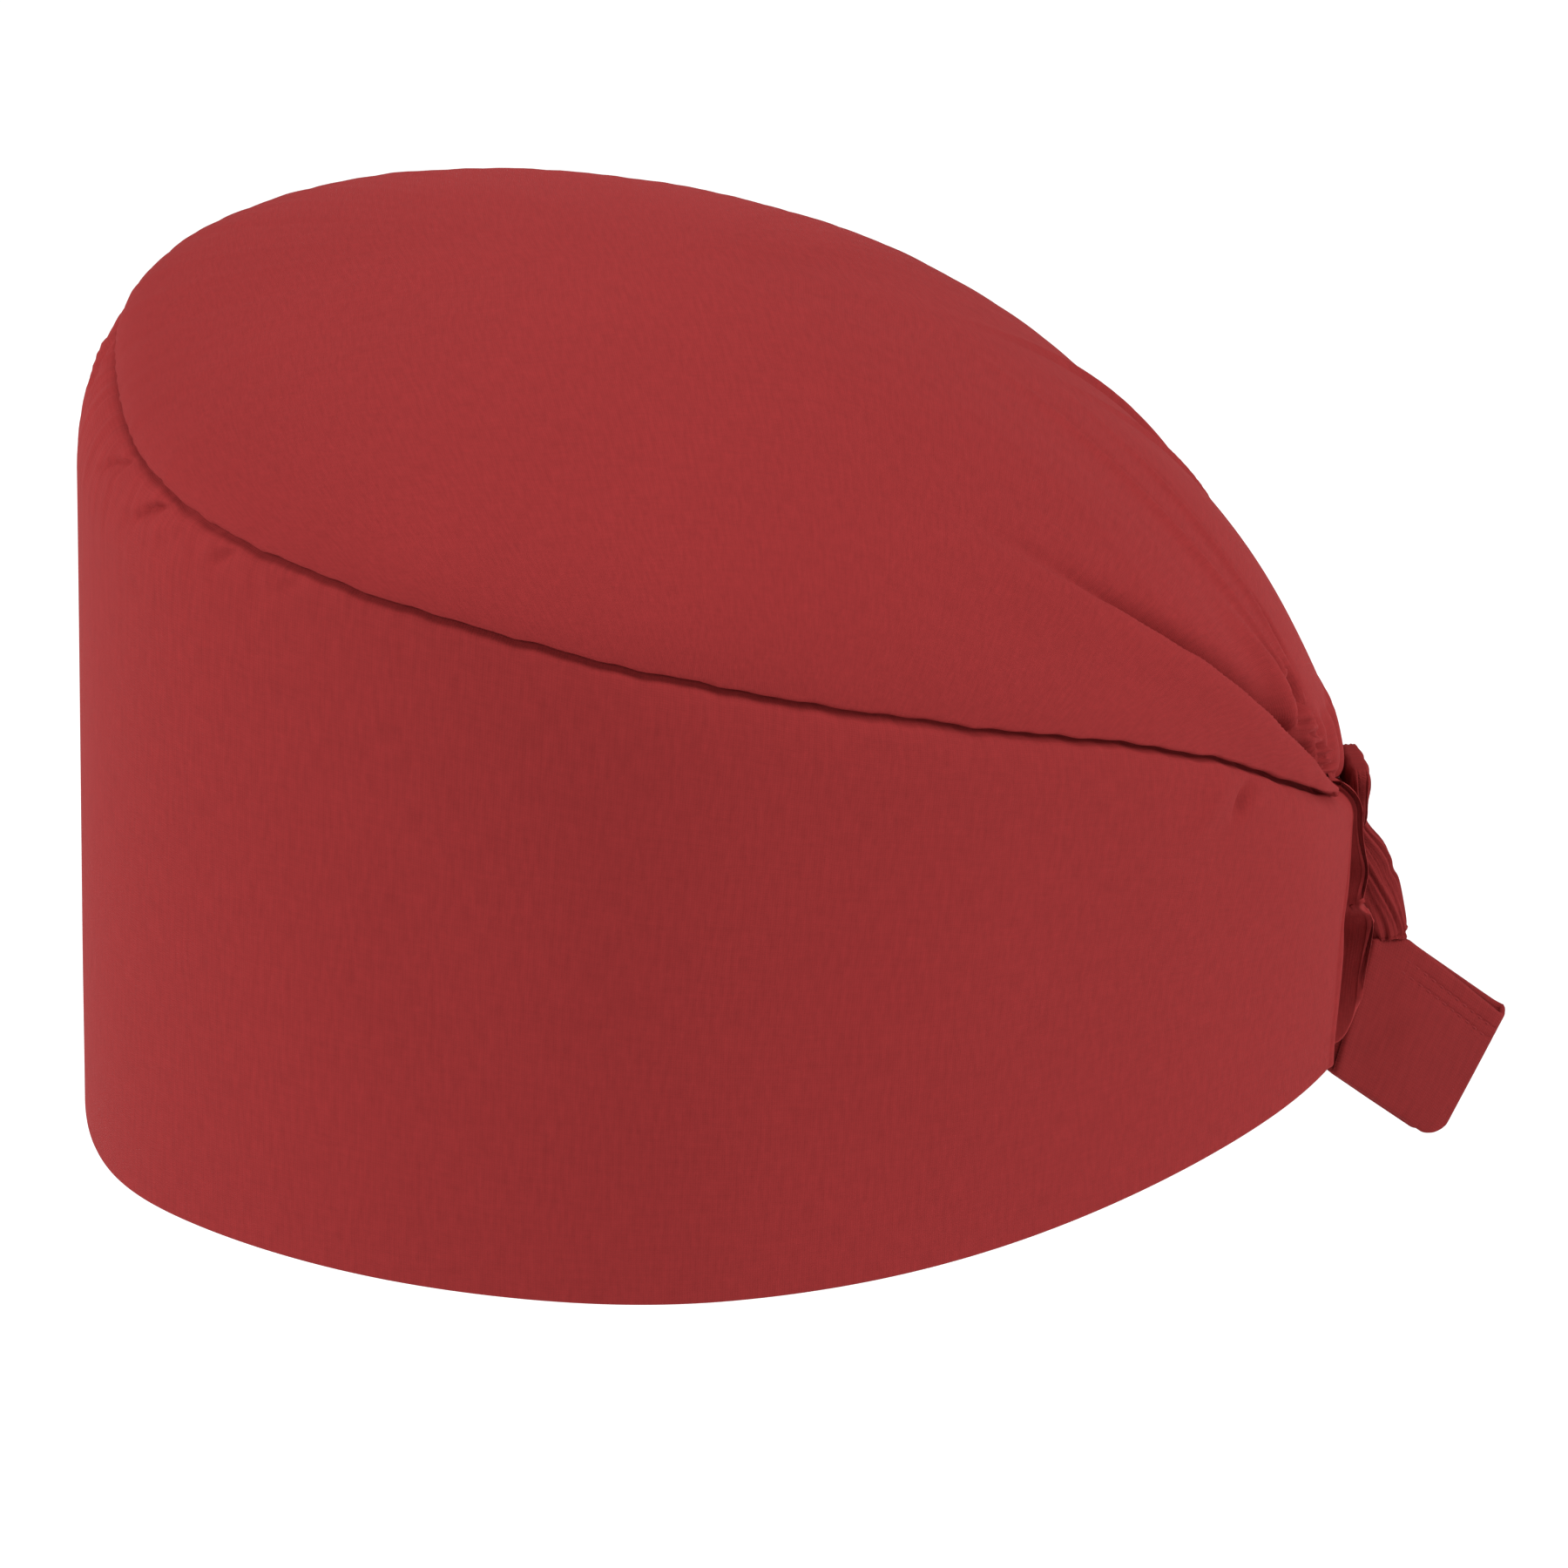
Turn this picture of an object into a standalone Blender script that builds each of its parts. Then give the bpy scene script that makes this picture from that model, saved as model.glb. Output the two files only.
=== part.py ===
"""Surgical cap: a deep side band, a domed crown gathered at the nape, and a knotted fabric tie.

Metres, +Z up. The forehead is towards -X and the nape towards +X. The origin is the centre of the head
opening, level with the rim's edge at the forehead. Angles run round the cap from the forehead, 0, to the
nape, 180 degrees, and are positive on the -Y side.
"""
import math
from collections import namedtuple

import bpy
import numpy as np
from mathutils import Vector

# The head opening and the cap's heights
RIM_FRONT = 0.0905
RIM_BACK = 0.1135
RIM_HALF_WIDTH = 0.0855
BAND_HEIGHT = 0.1235
CROWN_HEIGHT = 0.1420
CROWN_PEAK_FORWARD = 0.0010

# Cloth
CLOTH = 0.0012
SEAM_GAP = 0.0003
SEAM_DIP = 0.0009
SEAM_DIP_REACH = 0.0024
SHOULDER_ROUND = 0.090
SHOULDER_LEAN = 0.32

# Nape: the pleats that end the band, and the ruched casing between them
NAPE_PLEAT_DEPTH = 0.0110
CASING_HEIGHT = 0.0085
CASING_RUFFLE = 0.00045
CASING_RUFFLES = 5

# Gathers of the crown above the casing
GATHER_DEPTH = 0.0012
GATHER_PERIOD = 5.0
GATHER_HALF_ANGLE = 16.0
GATHER_CLIMB = 20.0
GATHER_SINK = 0.3
GATHER_FADE = 8.0

# How the crown's folds fade in below their tops and out past their feet, and how steep their sides are
FOLD_FADE_IN = 1.6
FOLD_END = 1.25
FOLD_FADE_OUT = 4.0
FOLD_STEEPNESS = 1.6

# The tie: a knot, a bunched neck and a flat end folded back on itself
KNOT_DEPTH = 0.0033
KNOT_WIDTH = 0.0120
KNOT_HEIGHT = 0.0110
KNOT_SIDE = 0.0030
KNOT_RISE = 0.0009
KNOT_TAPER = 0.24
KNOT_BREADTH = 1.12
KNOT_CAGE = 1.2
NECK_WIDTH = 0.0066
NECK_THICKNESS = 0.0042
NECK_BEND = 0.0020
NECK_RIDGE = 0.00035
NECK_START_SHARE = 0.60
TIE_WIDTH = 0.0246
TIE_REACH = 0.0290
TIE_HALF_GAP = 0.0012
TIE_CORNER = 0.0052
TIE_TURN = 32.0
TIE_LEAN = 4.0
TIE_SLOPE = 41.3
TIE_SHOULDER = 0.0070
TIE_SHOULDER_DROP = 0.0032
TIE_BELOW_KNOT = 0.0261
TIE_BEHIND_KNOT = 0.0101

# Mesh steps, in degrees round the cap and in rows up it
FRONT_STEP = 5.0
NAPE_STEP = 2.0
NAPE_FROM = 140.0
CROWN_ROWS = 12
CROWN_ROW_CROWDING = 1.1
BAND_ROWS = (0.0, 0.17, 0.34, 0.52, 0.7, 0.82, 0.9, 0.955)

# One row for each angle. Heights are shares of BAND_HEIGHT. Reaches are shares of the plain oval
# through RIM_FRONT, RIM_HALF_WIDTH and RIM_BACK.
Section = namedtuple("Section", "angle rim_rise seam_height rim_reach seam_reach")
SECTIONS = (
    Section(0, 0.000, 1.000, 1.000, 0.903),
    Section(30, 0.049, 1.000, 1.013, 0.965),
    Section(60, 0.075, 0.970, 1.012, 1.002),
    Section(90, 0.075, 0.878, 1.000, 0.970),
    Section(120, 0.075, 0.764, 0.951, 0.925),
    Section(150, 0.084, 0.602, 0.932, 0.915),
    Section(165, 0.085, 0.475, 0.962, 0.928),
    Section(180, 0.085, 0.410, 0.992, 0.952),
)

# How round the crown's side is at the front, side and back: 1 is an ellipse, more is flatter
CROWN_POWER_FRONT = 1.03
CROWN_POWER_SIDE = 1.03
CROWN_POWER_BACK = 1.20

# Folds of the crown that run down to the nape, one row each, repeated on the other side. A fold runs
# from its top to its foot, each an angle round the cap and a climb from the seam, 0, to the peak, 90.
# Its height is a share of GATHER_DEPTH, below 0 for a valley, and its width is in degrees.
Fold = namedtuple("Fold", "top_angle top_climb foot_angle foot_climb height width")
CROWN_FOLDS = (
    Fold(136, 40, 162, 6, -2.0, 5.0),
    Fold(126, 38, 157, 2, 1.3, 6.0),
    Fold(176, 52, 164, 12, 0.9, 3.5),
    Fold(172, 56, 158, 10, -1.4, 3.5),
)

# The path of the band's end seen from above, from its folded edge: back along +X and across to the
# middle, as shares of NAPE_PLEAT_DEPTH. The rim climbs along it by rise, a share of the band's height.
PleatPoint = namedtuple("PleatPoint", "back across rise")
NAPE_PLEAT = (
    PleatPoint(0.10, 0.07, 0.00),
    PleatPoint(0.02, 0.17, 0.00),
    PleatPoint(-0.28, 0.26, 0.00),
    PleatPoint(-0.42, 0.38, 0.00),
    PleatPoint(-0.16, 0.53, 0.01),
    PleatPoint(0.28, 0.67, 0.05),
    PleatPoint(0.56, 0.83, 0.12),
    PleatPoint(0.70, 1.00, 0.23),
    PleatPoint(0.62, 1.18, 0.35),
)

# The band's end at each height, a share of the band's own height there: the angle of its folded
# edge, and how far the pleat opens.
BandEnd = namedtuple("BandEnd", "height edge_angle opening")
BAND_ENDS = (
    BandEnd(0.00, 165.0, 1.00),
    BandEnd(0.42, 166.3, 0.95),
    BandEnd(0.56, 167.5, 0.35),
    BandEnd(0.70, 169.0, 0.48),
    BandEnd(0.84, 170.3, 0.30),
    BandEnd(1.00, 171.5, 0.10),
)

CLOTH_RED = (0.325, 0.034, 0.036, 1.0)
TIE_RED = (0.240, 0.026, 0.027, 1.0)


def smooth_curve(xs, ys):
    """A smooth curve through a table's points, level at both ends, as a function."""
    xs = np.array(xs, float)
    ys = np.array(ys, float)
    steps = np.diff(xs)
    count = len(xs)
    system = np.eye(count)
    target = np.zeros(count)
    for i in range(1, count - 1):
        before, after = steps[i - 1], steps[i]
        system[i, i - 1:i + 2] = after, 2 * (before + after), before
        target[i] = 3 * (after * (ys[i] - ys[i - 1]) / before + before * (ys[i + 1] - ys[i]) / after)
    slopes = np.linalg.solve(system, target)

    def value(x):
        x = min(max(x, xs[0]), xs[-1])
        i = min(int(np.searchsorted(xs, x, side="right")) - 1, count - 2)
        t = (x - xs[i]) / steps[i]
        start = ys[i] * (1 + 2 * t) * (1 - t) ** 2 + slopes[i] * steps[i] * t * (1 - t) ** 2
        end = ys[i + 1] * t * t * (3 - 2 * t) - slopes[i + 1] * steps[i] * t * t * (1 - t)
        return float(start + end)

    return value


def column(table, name, by):
    """One column of a table as a smooth function of another."""
    return smooth_curve([getattr(row, by) for row in table], [getattr(row, name) for row in table])


rim_rise = column(SECTIONS, "rim_rise", "angle")
seam_height = column(SECTIONS, "seam_height", "angle")
rim_reach = column(SECTIONS, "rim_reach", "angle")
seam_reach = column(SECTIONS, "seam_reach", "angle")
end_angle = column(BAND_ENDS, "edge_angle", "height")
end_opening = column(BAND_ENDS, "opening", "height")


def folded(angle):
    """An angle's place between the forehead and the nape, on either side."""
    turned = abs(angle) % 360
    return min(turned, 360 - turned)


def oval(angle):
    """Reach of the plain oval at an angle."""
    c = math.cos(math.radians(angle))
    s = math.sin(math.radians(angle))
    long_side = RIM_FRONT if c > 0 else RIM_BACK
    return 1 / math.hypot(c / long_side, s / RIM_HALF_WIDTH)


def at(angle, reach, height):
    """The point at an angle round the cap, a reach from its middle and a height."""
    turn = math.radians(angle)
    return Vector((-reach * math.cos(turn), -reach * math.sin(turn), height))


def hump(distance, width):
    """1 at the middle of a fold, falling smoothly to about 0 at its width."""
    return math.exp(-(FOLD_STEEPNESS * distance / width) ** 2)


def ease(t):
    """0 to 1, smooth at both ends."""
    t = min(max(t, 0.0), 1.0)
    return t * t * (3 - 2 * t)


def seam_dip(distance):
    """How far the cloth turns in at the seam, by its distance from the seam's edge."""
    return SEAM_DIP * max(0.0, 1 - distance / SEAM_DIP_REACH) ** 2


def crown_relief(angle, climb):
    """Folds and gathers of the crown, out from its smooth surface."""
    side = folded(angle)
    relief = 0.0
    for fold in CROWN_FOLDS:
        down = (fold.top_climb - climb) / (fold.top_climb - fold.foot_climb)
        middle = fold.top_angle + (fold.foot_angle - fold.top_angle) * down
        strength = ease(down * FOLD_FADE_IN) * ease((FOLD_END - down) * FOLD_FADE_OUT)
        relief += fold.height * GATHER_DEPTH * strength * hump(side - middle, fold.width)
    near_nape = ease((GATHER_HALF_ANGLE - (180 - side)) / GATHER_FADE) * ease(1 - climb / GATHER_CLIMB)
    ripple = math.cos(2 * math.pi * (180 - side) / GATHER_PERIOD) - GATHER_SINK
    return relief + GATHER_DEPTH * near_nape * ripple


def crown_point(angle, climb, seam_distance):
    """A point of the crown's outer face."""
    side = folded(angle)
    seam_z = BAND_HEIGHT * seam_height(side) + SEAM_GAP / 2
    foot = at(angle, oval(angle) * seam_reach(side), seam_z)
    peak = Vector((-CROWN_PEAK_FORWARD, 0, CROWN_HEIGHT))
    along = math.cos(math.radians(angle))
    end_power = CROWN_POWER_FRONT if along > 0 else CROWN_POWER_BACK
    power = CROWN_POWER_SIDE + (end_power - CROWN_POWER_SIDE) * along ** 2
    inward = math.cos(math.radians(climb)) ** power
    upward = math.sin(math.radians(climb)) ** power
    spread = (foot - peak).to_2d() * inward
    outward = Vector((foot.x, foot.y, 0)).normalized()
    outward = (outward * math.cos(math.radians(climb)) + Vector((0, 0, math.sin(math.radians(climb)))))
    point = Vector((peak.x + spread.x, peak.y + spread.y, foot.z + (peak.z - foot.z) * upward))
    return point + outward * (crown_relief(angle, climb) - seam_dip(seam_distance))


def climb_for_height(angle, height):
    """The crown's climb, in degrees, at a small height above the seam."""
    span = CROWN_HEIGHT - BAND_HEIGHT * seam_height(folded(angle))
    return math.degrees(math.asin(min(1.0, height / span)))


def shoulder(height):
    """How far the band is drawn in at a share of its height: a slight lean, then a round shoulder."""
    up = max(0.0, height - (1 - SHOULDER_ROUND)) / SHOULDER_ROUND
    return SHOULDER_LEAN * height + (1 - SHOULDER_LEAN) * (1 - math.sqrt(1 - min(up, 1.0) ** 2))


def band_point(angle, height, seam_distance):
    """A point of the band's outer face, by its share of the height from rim to seam."""
    side = folded(angle)
    low = BAND_HEIGHT * rim_rise(side)
    high = BAND_HEIGHT * seam_height(side) - SEAM_GAP / 2
    share = rim_reach(side) + (seam_reach(side) - rim_reach(side)) * shoulder(height)
    reach = oval(angle) * share - seam_dip(seam_distance)
    return at(angle, reach, low + (high - low) * height)


def angles_between(start, end):
    """Angles from start to end, closer together towards the nape."""
    found = [start]
    while True:
        side = folded(found[-1] + 0.5)
        step = NAPE_STEP if side >= NAPE_FROM else FRONT_STEP
        if found[-1] + 1.5 * step >= end:
            return found + [end]
        found.append(found[-1] + step)


def new_material(name, color):
    material = bpy.data.materials.new(name)
    material.use_nodes = True
    shader = material.node_tree.nodes["Principled BSDF"]
    shader.inputs["Base Color"].default_value = color
    shader.inputs["Roughness"].default_value = 0.88
    shader.inputs["Metallic"].default_value = 0.0
    return material


def add_object(name, points, faces, color, collection):
    mesh = bpy.data.meshes.new(name)
    mesh.from_pydata([tuple(point) for point in points], [], faces)
    mesh.materials.append(new_material(name + "_cloth", color))
    mesh.shade_smooth()
    piece = bpy.data.objects.new(name, mesh)
    collection.objects.link(piece)
    return piece


def grid_faces(columns, rows, closed):
    """Quads between columns of points, each with the same number of rows, facing outward."""
    faces = []
    for i in range(columns if closed else columns - 1):
        for j in range(rows - 1):
            after = (i + 1) % columns
            faces.append((i * rows + j, after * rows + j, after * rows + j + 1, i * rows + j + 1))
    return faces


def add_wall(piece, thickness, offset):
    wall = piece.modifiers.new("wall", "SOLIDIFY")
    wall.thickness = thickness
    wall.offset = offset
    wall.use_rim = True
    wall.use_even_offset = False


def make_crown(collection):
    angles = angles_between(-180.0, 180.0)[:-1]
    points = []
    dip_rows = (0.0, 0.35, 1.0)
    for angle in angles:
        for share in dip_rows:
            distance = share * SEAM_DIP_REACH
            points.append(crown_point(angle, climb_for_height(angle, distance), distance))
        first = climb_for_height(angle, SEAM_DIP_REACH)
        for row in range(1, CROWN_ROWS):
            climb = first + (90 - first) * (row / CROWN_ROWS) ** CROWN_ROW_CROWDING
            points.append(crown_point(angle, climb, SEAM_DIP_REACH))
    rows = len(dip_rows) + CROWN_ROWS - 1
    faces = grid_faces(len(angles), rows, closed=True)
    points.append(crown_point(0, 90, SEAM_DIP_REACH))
    for i in range(len(angles)):
        after = (i + 1) % len(angles)
        faces.append((i * rows + rows - 1, after * rows + rows - 1, len(points) - 1))
    crown = add_object("crown", points, faces, CLOTH_RED, collection)
    add_wall(crown, CLOTH, -1)


def pleat_points(side, height, seam_distance):
    """The band's end from its folded edge towards the middle, at one share of the height left there."""
    points = []
    for point in NAPE_PLEAT:
        raised = point.rise + (1 - point.rise) * height
        edge = band_point(side * end_angle(raised), raised, seam_distance)
        depth = NAPE_PLEAT_DEPTH * end_opening(raised)
        points.append(edge + Vector((point.back * depth, side * point.across * depth, 0)))
    return points


def make_band(collection):
    dip_rows = (1.0, 0.35, 0.0)
    heights = [(share, SEAM_DIP_REACH) for share in BAND_ROWS]
    for share in dip_rows:
        distance = share * SEAM_DIP_REACH
        heights.append((1 - distance / BAND_HEIGHT, distance))
    turns = [angle / end_angle(0) for angle in angles_between(-end_angle(0), end_angle(0))]
    points = []
    for back in reversed(range(len(NAPE_PLEAT))):
        points += [pleat_points(-1, height, distance)[back] for height, distance in heights]
    for turn in turns:
        points += [band_point(turn * end_angle(height), height, distance) for height, distance in heights]
    for back in range(len(NAPE_PLEAT)):
        points += [pleat_points(1, height, distance)[back] for height, distance in heights]
    columns = len(turns) + 2 * len(NAPE_PLEAT)
    faces = grid_faces(columns, len(heights), closed=False)
    band = add_object("band", points, faces, CLOTH_RED, collection)
    add_wall(band, CLOTH, -1)


def casing_top():
    """Height of the casing's upper edge, under the crown's hem."""
    return BAND_HEIGHT * seam_height(180) - SEAM_GAP / 2


def casing_half_width(z):
    """Half the width that the band's two ends leave open at a height."""
    side = end_angle(1)
    low = BAND_HEIGHT * rim_rise(side)
    high = BAND_HEIGHT * seam_height(side)
    height = min(1.0, (z - low) / (high - low))
    return -pleat_points(1, height, 0)[-1].y - SEAM_GAP


def make_casing(collection):
    columns = 8 * CASING_RUFFLES + 1
    rows = 5
    points = []
    for i in range(columns):
        turn = 2 * i / (columns - 1) - 1
        ruffle = CASING_RUFFLE * math.cos(2 * math.pi * CASING_RUFFLES * i / (columns - 1))
        for j in range(rows):
            down = 1 - j / (rows - 1)
            across = turn * casing_half_width(casing_top() - CASING_HEIGHT * down)
            angle = 180 + math.degrees(math.asin(across / RIM_BACK))
            top = BAND_HEIGHT * seam_height(folded(angle)) - SEAM_GAP / 2
            roll = SEAM_DIP * (2 * down - 1) ** 4
            reach = oval(angle) * seam_reach(folded(angle)) + ruffle - roll
            points.append(at(angle, reach, top - CASING_HEIGHT * down))
    casing = add_object("nape_casing", points, grid_faces(columns, rows, closed=False), CLOTH_RED, collection)
    add_wall(casing, CLOTH, -1)


def knot_centre():
    reach = oval(180) * seam_reach(180) + CASING_RUFFLE + SEAM_GAP + KNOT_DEPTH / 2
    return Vector((reach, -KNOT_SIDE, casing_top() - CASING_HEIGHT / 2 + KNOT_RISE))


def make_knot(collection):
    """A rounded pad of wrapped cloth, narrower below."""
    bpy.ops.mesh.primitive_cube_add(size=1)
    knot = bpy.context.object
    knot.name = "tie_knot"
    knot.data.name = "tie_knot"
    for corner in knot.data.vertices:
        taper = KNOT_BREADTH + KNOT_TAPER * corner.co.z
        corner.co.x *= KNOT_DEPTH * KNOT_CAGE * taper
        corner.co.y *= KNOT_WIDTH * KNOT_CAGE * taper
        corner.co.z *= KNOT_HEIGHT * KNOT_CAGE
        corner.co += knot_centre()
    round_off = knot.modifiers.new("round", "SUBSURF")
    round_off.levels = 2
    round_off.render_levels = 2
    knot.data.materials.append(new_material("tie_knot_cloth", TIE_RED))
    knot.data.shade_smooth()
    for home in list(knot.users_collection):
        home.objects.unlink(knot)
    collection.objects.link(knot)


def tie_frame():
    """The flat end's corner under the neck, and its directions along, down its width and out."""
    turn = math.radians(TIE_TURN)
    lean = math.radians(TIE_LEAN)
    out = Vector((math.sin(turn) * math.cos(lean), -math.cos(turn) * math.cos(lean), math.sin(lean)))
    level = Vector((math.cos(turn), math.sin(turn), 0))
    down = out.cross(level).normalized()
    if down.z > 0:
        down = -down
    slope = math.radians(TIE_SLOPE)
    along = level * math.cos(slope) + down * math.sin(slope)
    width = down * math.cos(slope) - level * math.sin(slope)
    knot = knot_centre()
    corner = knot + Vector((TIE_BEHIND_KNOT, KNOT_SIDE, -TIE_BELOW_KNOT - KNOT_HEIGHT / 4))
    return corner, along, width, out


def make_neck(collection):
    """The bunched stretch of the tie, from under the knot to the flat end's sloping shoulder."""
    corner, along, width, out = tie_frame()
    shoulder = (along * TIE_SHOULDER - width * TIE_SHOULDER_DROP).normalized()
    downward = (width * TIE_SHOULDER + along * TIE_SHOULDER_DROP).normalized()
    start = knot_centre() + Vector((0, 0, -KNOT_HEIGHT / 2 - SEAM_GAP))
    end = corner + (width * TIE_SHOULDER_DROP - along * TIE_SHOULDER) / 2 - downward * SEAM_GAP
    bend = end - downward * NECK_BEND
    rings = 9
    sides = 20
    points = []
    for i in range(rings):
        t = i / (rings - 1)
        middle = start * (1 - t) ** 2 + bend * 2 * t * (1 - t) + end * t * t
        heading = ((bend - start) * (1 - t) + (end - bend) * t).normalized()
        heading = (heading + (Vector((0, 0, -1)) - heading) * (1 - t) ** 4).normalized()
        broad = Vector((1, 0, 0)) * (1 - t) + shoulder * t
        broad = (broad - heading * broad.dot(heading)).normalized()
        thin = heading.cross(broad)
        widening = NECK_START_SHARE + (1 - NECK_START_SHARE) * ease(2 * t)
        half = NECK_WIDTH / 2 * widening - NECK_RIDGE
        for k in range(sides):
            turn = 2 * math.pi * k / sides
            ridge = NECK_RIDGE * math.cos(turn * 5)
            across = (half + ridge) * math.cos(turn)
            through = (NECK_THICKNESS / 2 + ridge) * math.sin(turn)
            points.append(middle + broad * across + thin * through)
    faces = []
    for i in range(rings - 1):
        for k in range(sides):
            after = (k + 1) % sides
            faces.append((i * sides + k, i * sides + after, (i + 1) * sides + after, (i + 1) * sides + k))
    faces.append(tuple(reversed(range(sides))))
    faces.append(tuple((rings - 1) * sides + k for k in range(sides)))
    add_object("tie_neck", points, faces, TIE_RED, collection)


def tie_layers():
    """The tie's path seen from its edge: shares of the way out, and the height off its middle."""
    pinch = (CLOTH + SEAM_GAP) / 2
    layer_steps = 8
    straight = 1 - TIE_HALF_GAP / TIE_REACH
    layer = []
    for i in range(layer_steps + 1):
        t = i / layer_steps
        layer.append((t * straight, pinch + (TIE_HALF_GAP - pinch) * ease(2 * t)))
    turns = 6
    fold = []
    for i in range(1, turns):
        turn = math.pi * i / turns
        fold.append((straight + (1 - straight) * math.sin(turn), TIE_HALF_GAP * math.cos(turn)))
    return layer + fold + [(share, -gap) for share, gap in reversed(layer)]


def make_tie_end(collection):
    """The flat tie folded back on itself: one layer out, a round fold, one layer back."""
    corner, along, width, out = tie_frame()
    rows = (0.0, 0.12, 0.35, 0.6, 0.82, 0.94, 1.0)
    path = tie_layers()
    points = []
    for way_out, gap in path:
        for share in rows:
            start = -TIE_SHOULDER * (1 - share)
            reach = start + (TIE_REACH - start) * way_out
            into_corner = max(0.0, reach - (TIE_REACH - TIE_CORNER)) / TIE_CORNER
            cut = TIE_CORNER * (1 - math.sqrt(max(0.0, 1 - into_corner ** 2)))
            top = TIE_SHOULDER_DROP * max(0.0, -reach) / TIE_SHOULDER
            down = top + (TIE_WIDTH - cut - top) * share
            points.append(corner + along * reach + out * gap + width * down)
    faces = grid_faces(len(path), len(rows), closed=False)
    tie_end = add_object("tie_end", points, faces, TIE_RED, collection)
    add_wall(tie_end, CLOTH, 0)


def main():
    for old in list(bpy.data.objects):
        bpy.data.objects.remove(old, do_unlink=True)
    collection = bpy.data.collections.new("surgical_cap")
    bpy.context.scene.collection.children.link(collection)
    make_crown(collection)
    make_band(collection)
    make_casing(collection)
    make_knot(collection)
    make_neck(collection)
    make_tie_end(collection)


main()
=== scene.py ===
"""Looks of the surgical cap: fine cloth meshes with folds, gathers and seams, woven materials and a studio.

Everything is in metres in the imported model's frame: +Z up, the forehead towards -X and the nape towards
+X. Angles run round the cap from the forehead, 0, to the nape, 180 degrees, positive on the -Y side.
"""
import math
from collections import namedtuple

import bpy
import numpy as np
from mathutils import Matrix, Vector


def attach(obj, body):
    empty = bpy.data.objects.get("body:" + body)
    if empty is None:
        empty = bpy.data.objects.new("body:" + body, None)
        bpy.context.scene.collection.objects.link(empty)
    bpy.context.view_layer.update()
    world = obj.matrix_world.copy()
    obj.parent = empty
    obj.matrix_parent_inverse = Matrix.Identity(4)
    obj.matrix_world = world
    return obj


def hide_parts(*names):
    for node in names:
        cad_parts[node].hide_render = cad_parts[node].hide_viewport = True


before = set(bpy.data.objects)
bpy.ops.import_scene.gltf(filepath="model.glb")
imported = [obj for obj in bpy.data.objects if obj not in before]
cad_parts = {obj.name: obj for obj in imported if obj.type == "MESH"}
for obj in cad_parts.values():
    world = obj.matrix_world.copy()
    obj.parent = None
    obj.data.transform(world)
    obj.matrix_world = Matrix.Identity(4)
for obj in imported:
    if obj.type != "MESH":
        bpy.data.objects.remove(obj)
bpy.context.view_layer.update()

# Sizes in metres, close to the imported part's, so that the cloth stays inside its box
RIM_FRONT = 0.0905
RIM_BACK = 0.1135
RIM_HALF_WIDTH = 0.0855
BAND_HEIGHT = 0.1235
CROWN_HEIGHT = 0.1416
CROWN_PEAK_FORWARD = 0.0010
CLOTH = 0.0011
MODEL_RUFFLE = 0.00045
MODEL_GAP = 0.0003

# The mean reach of crown and band and the crown's rise, which turn degrees into metres
MEAN_REACH = 0.105
BAND_MEAN_REACH = 0.095
CROWN_RISE = 0.088

# The cap at angles round it: the rim's and the seam's heights as shares of BAND_HEIGHT, and their reach
# out as shares of the rim's oval
Section = namedtuple("Section", "angle rim_rise seam_height rim_reach seam_reach")
SECTIONS = (
    Section(0, 0.000, 1.000, 1.000, 0.903),
    Section(30, 0.049, 1.000, 1.013, 0.965),
    Section(60, 0.075, 0.970, 1.012, 1.002),
    Section(90, 0.075, 0.878, 1.000, 0.970),
    Section(120, 0.075, 0.764, 0.951, 0.925),
    Section(150, 0.084, 0.602, 0.932, 0.915),
    Section(165, 0.085, 0.475, 0.962, 0.928),
    Section(180, 0.085, 0.410, 0.992, 0.952),
)
# How full the crown's curve is: 1 is an ellipse, and less is fuller
CROWN_POWER_FRONT = 1.03
CROWN_POWER_SIDE = 1.03
CROWN_POWER_BACK = 1.20

# The band's round shoulder below the seam: its share of the height, the lean below it as a share of what
# the band is drawn in by, and how much of a quarter circle it turns through
SHOULDER_ROUND = 0.110
SHOULDER_LEAN = 0.32
SHOULDER_TURN = 0.93

# The seam between crown and band. Its line wanders, both edges dip at the stitching, and the dip ends
# before the nape, where the crown's gathers lie over it.
SEAM_GAP = 0.0006
SEAM_WANDER = 0.00036
SEAM_DIP = 0.0010
SEAM_DIP_REACH = 0.0012
SEAM_DIP_END = 164.0
SEAM_DIP_FADE = 7.0
SEAM_ROWS = (0.0004, 0.00055, 0.00075, 0.0010, 0.0014)
BAND_SEAM_ROWS = (0.0013, 0.0010, 0.00075, 0.00055, 0.0004)
BAND_RIM_ROWS = (0.0005, 0.0010, 0.0018, 0.0030)

# Puckers along the seam: their height, and how far from the seam they fade
Pucker = namedtuple("Pucker", "height reach")
CROWN_PUCKER = Pucker(0.00022, 0.007)
BAND_PUCKER = Pucker(0.0003, 0.009)

# Slight waves of slack cloth
CROWN_SLACK = 0.00016
BAND_SLACK = 0.0003

# The cloth turned in behind the crown at the seam: how far in and up it lies
Turn = namedtuple("Turn", "inward up")
SEAM_ALLOWANCE = (Turn(0.0006, 0.0001), Turn(0.0014, 0.0005), Turn(0.0019, 0.0014), Turn(0.0026, 0.0032))

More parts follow.
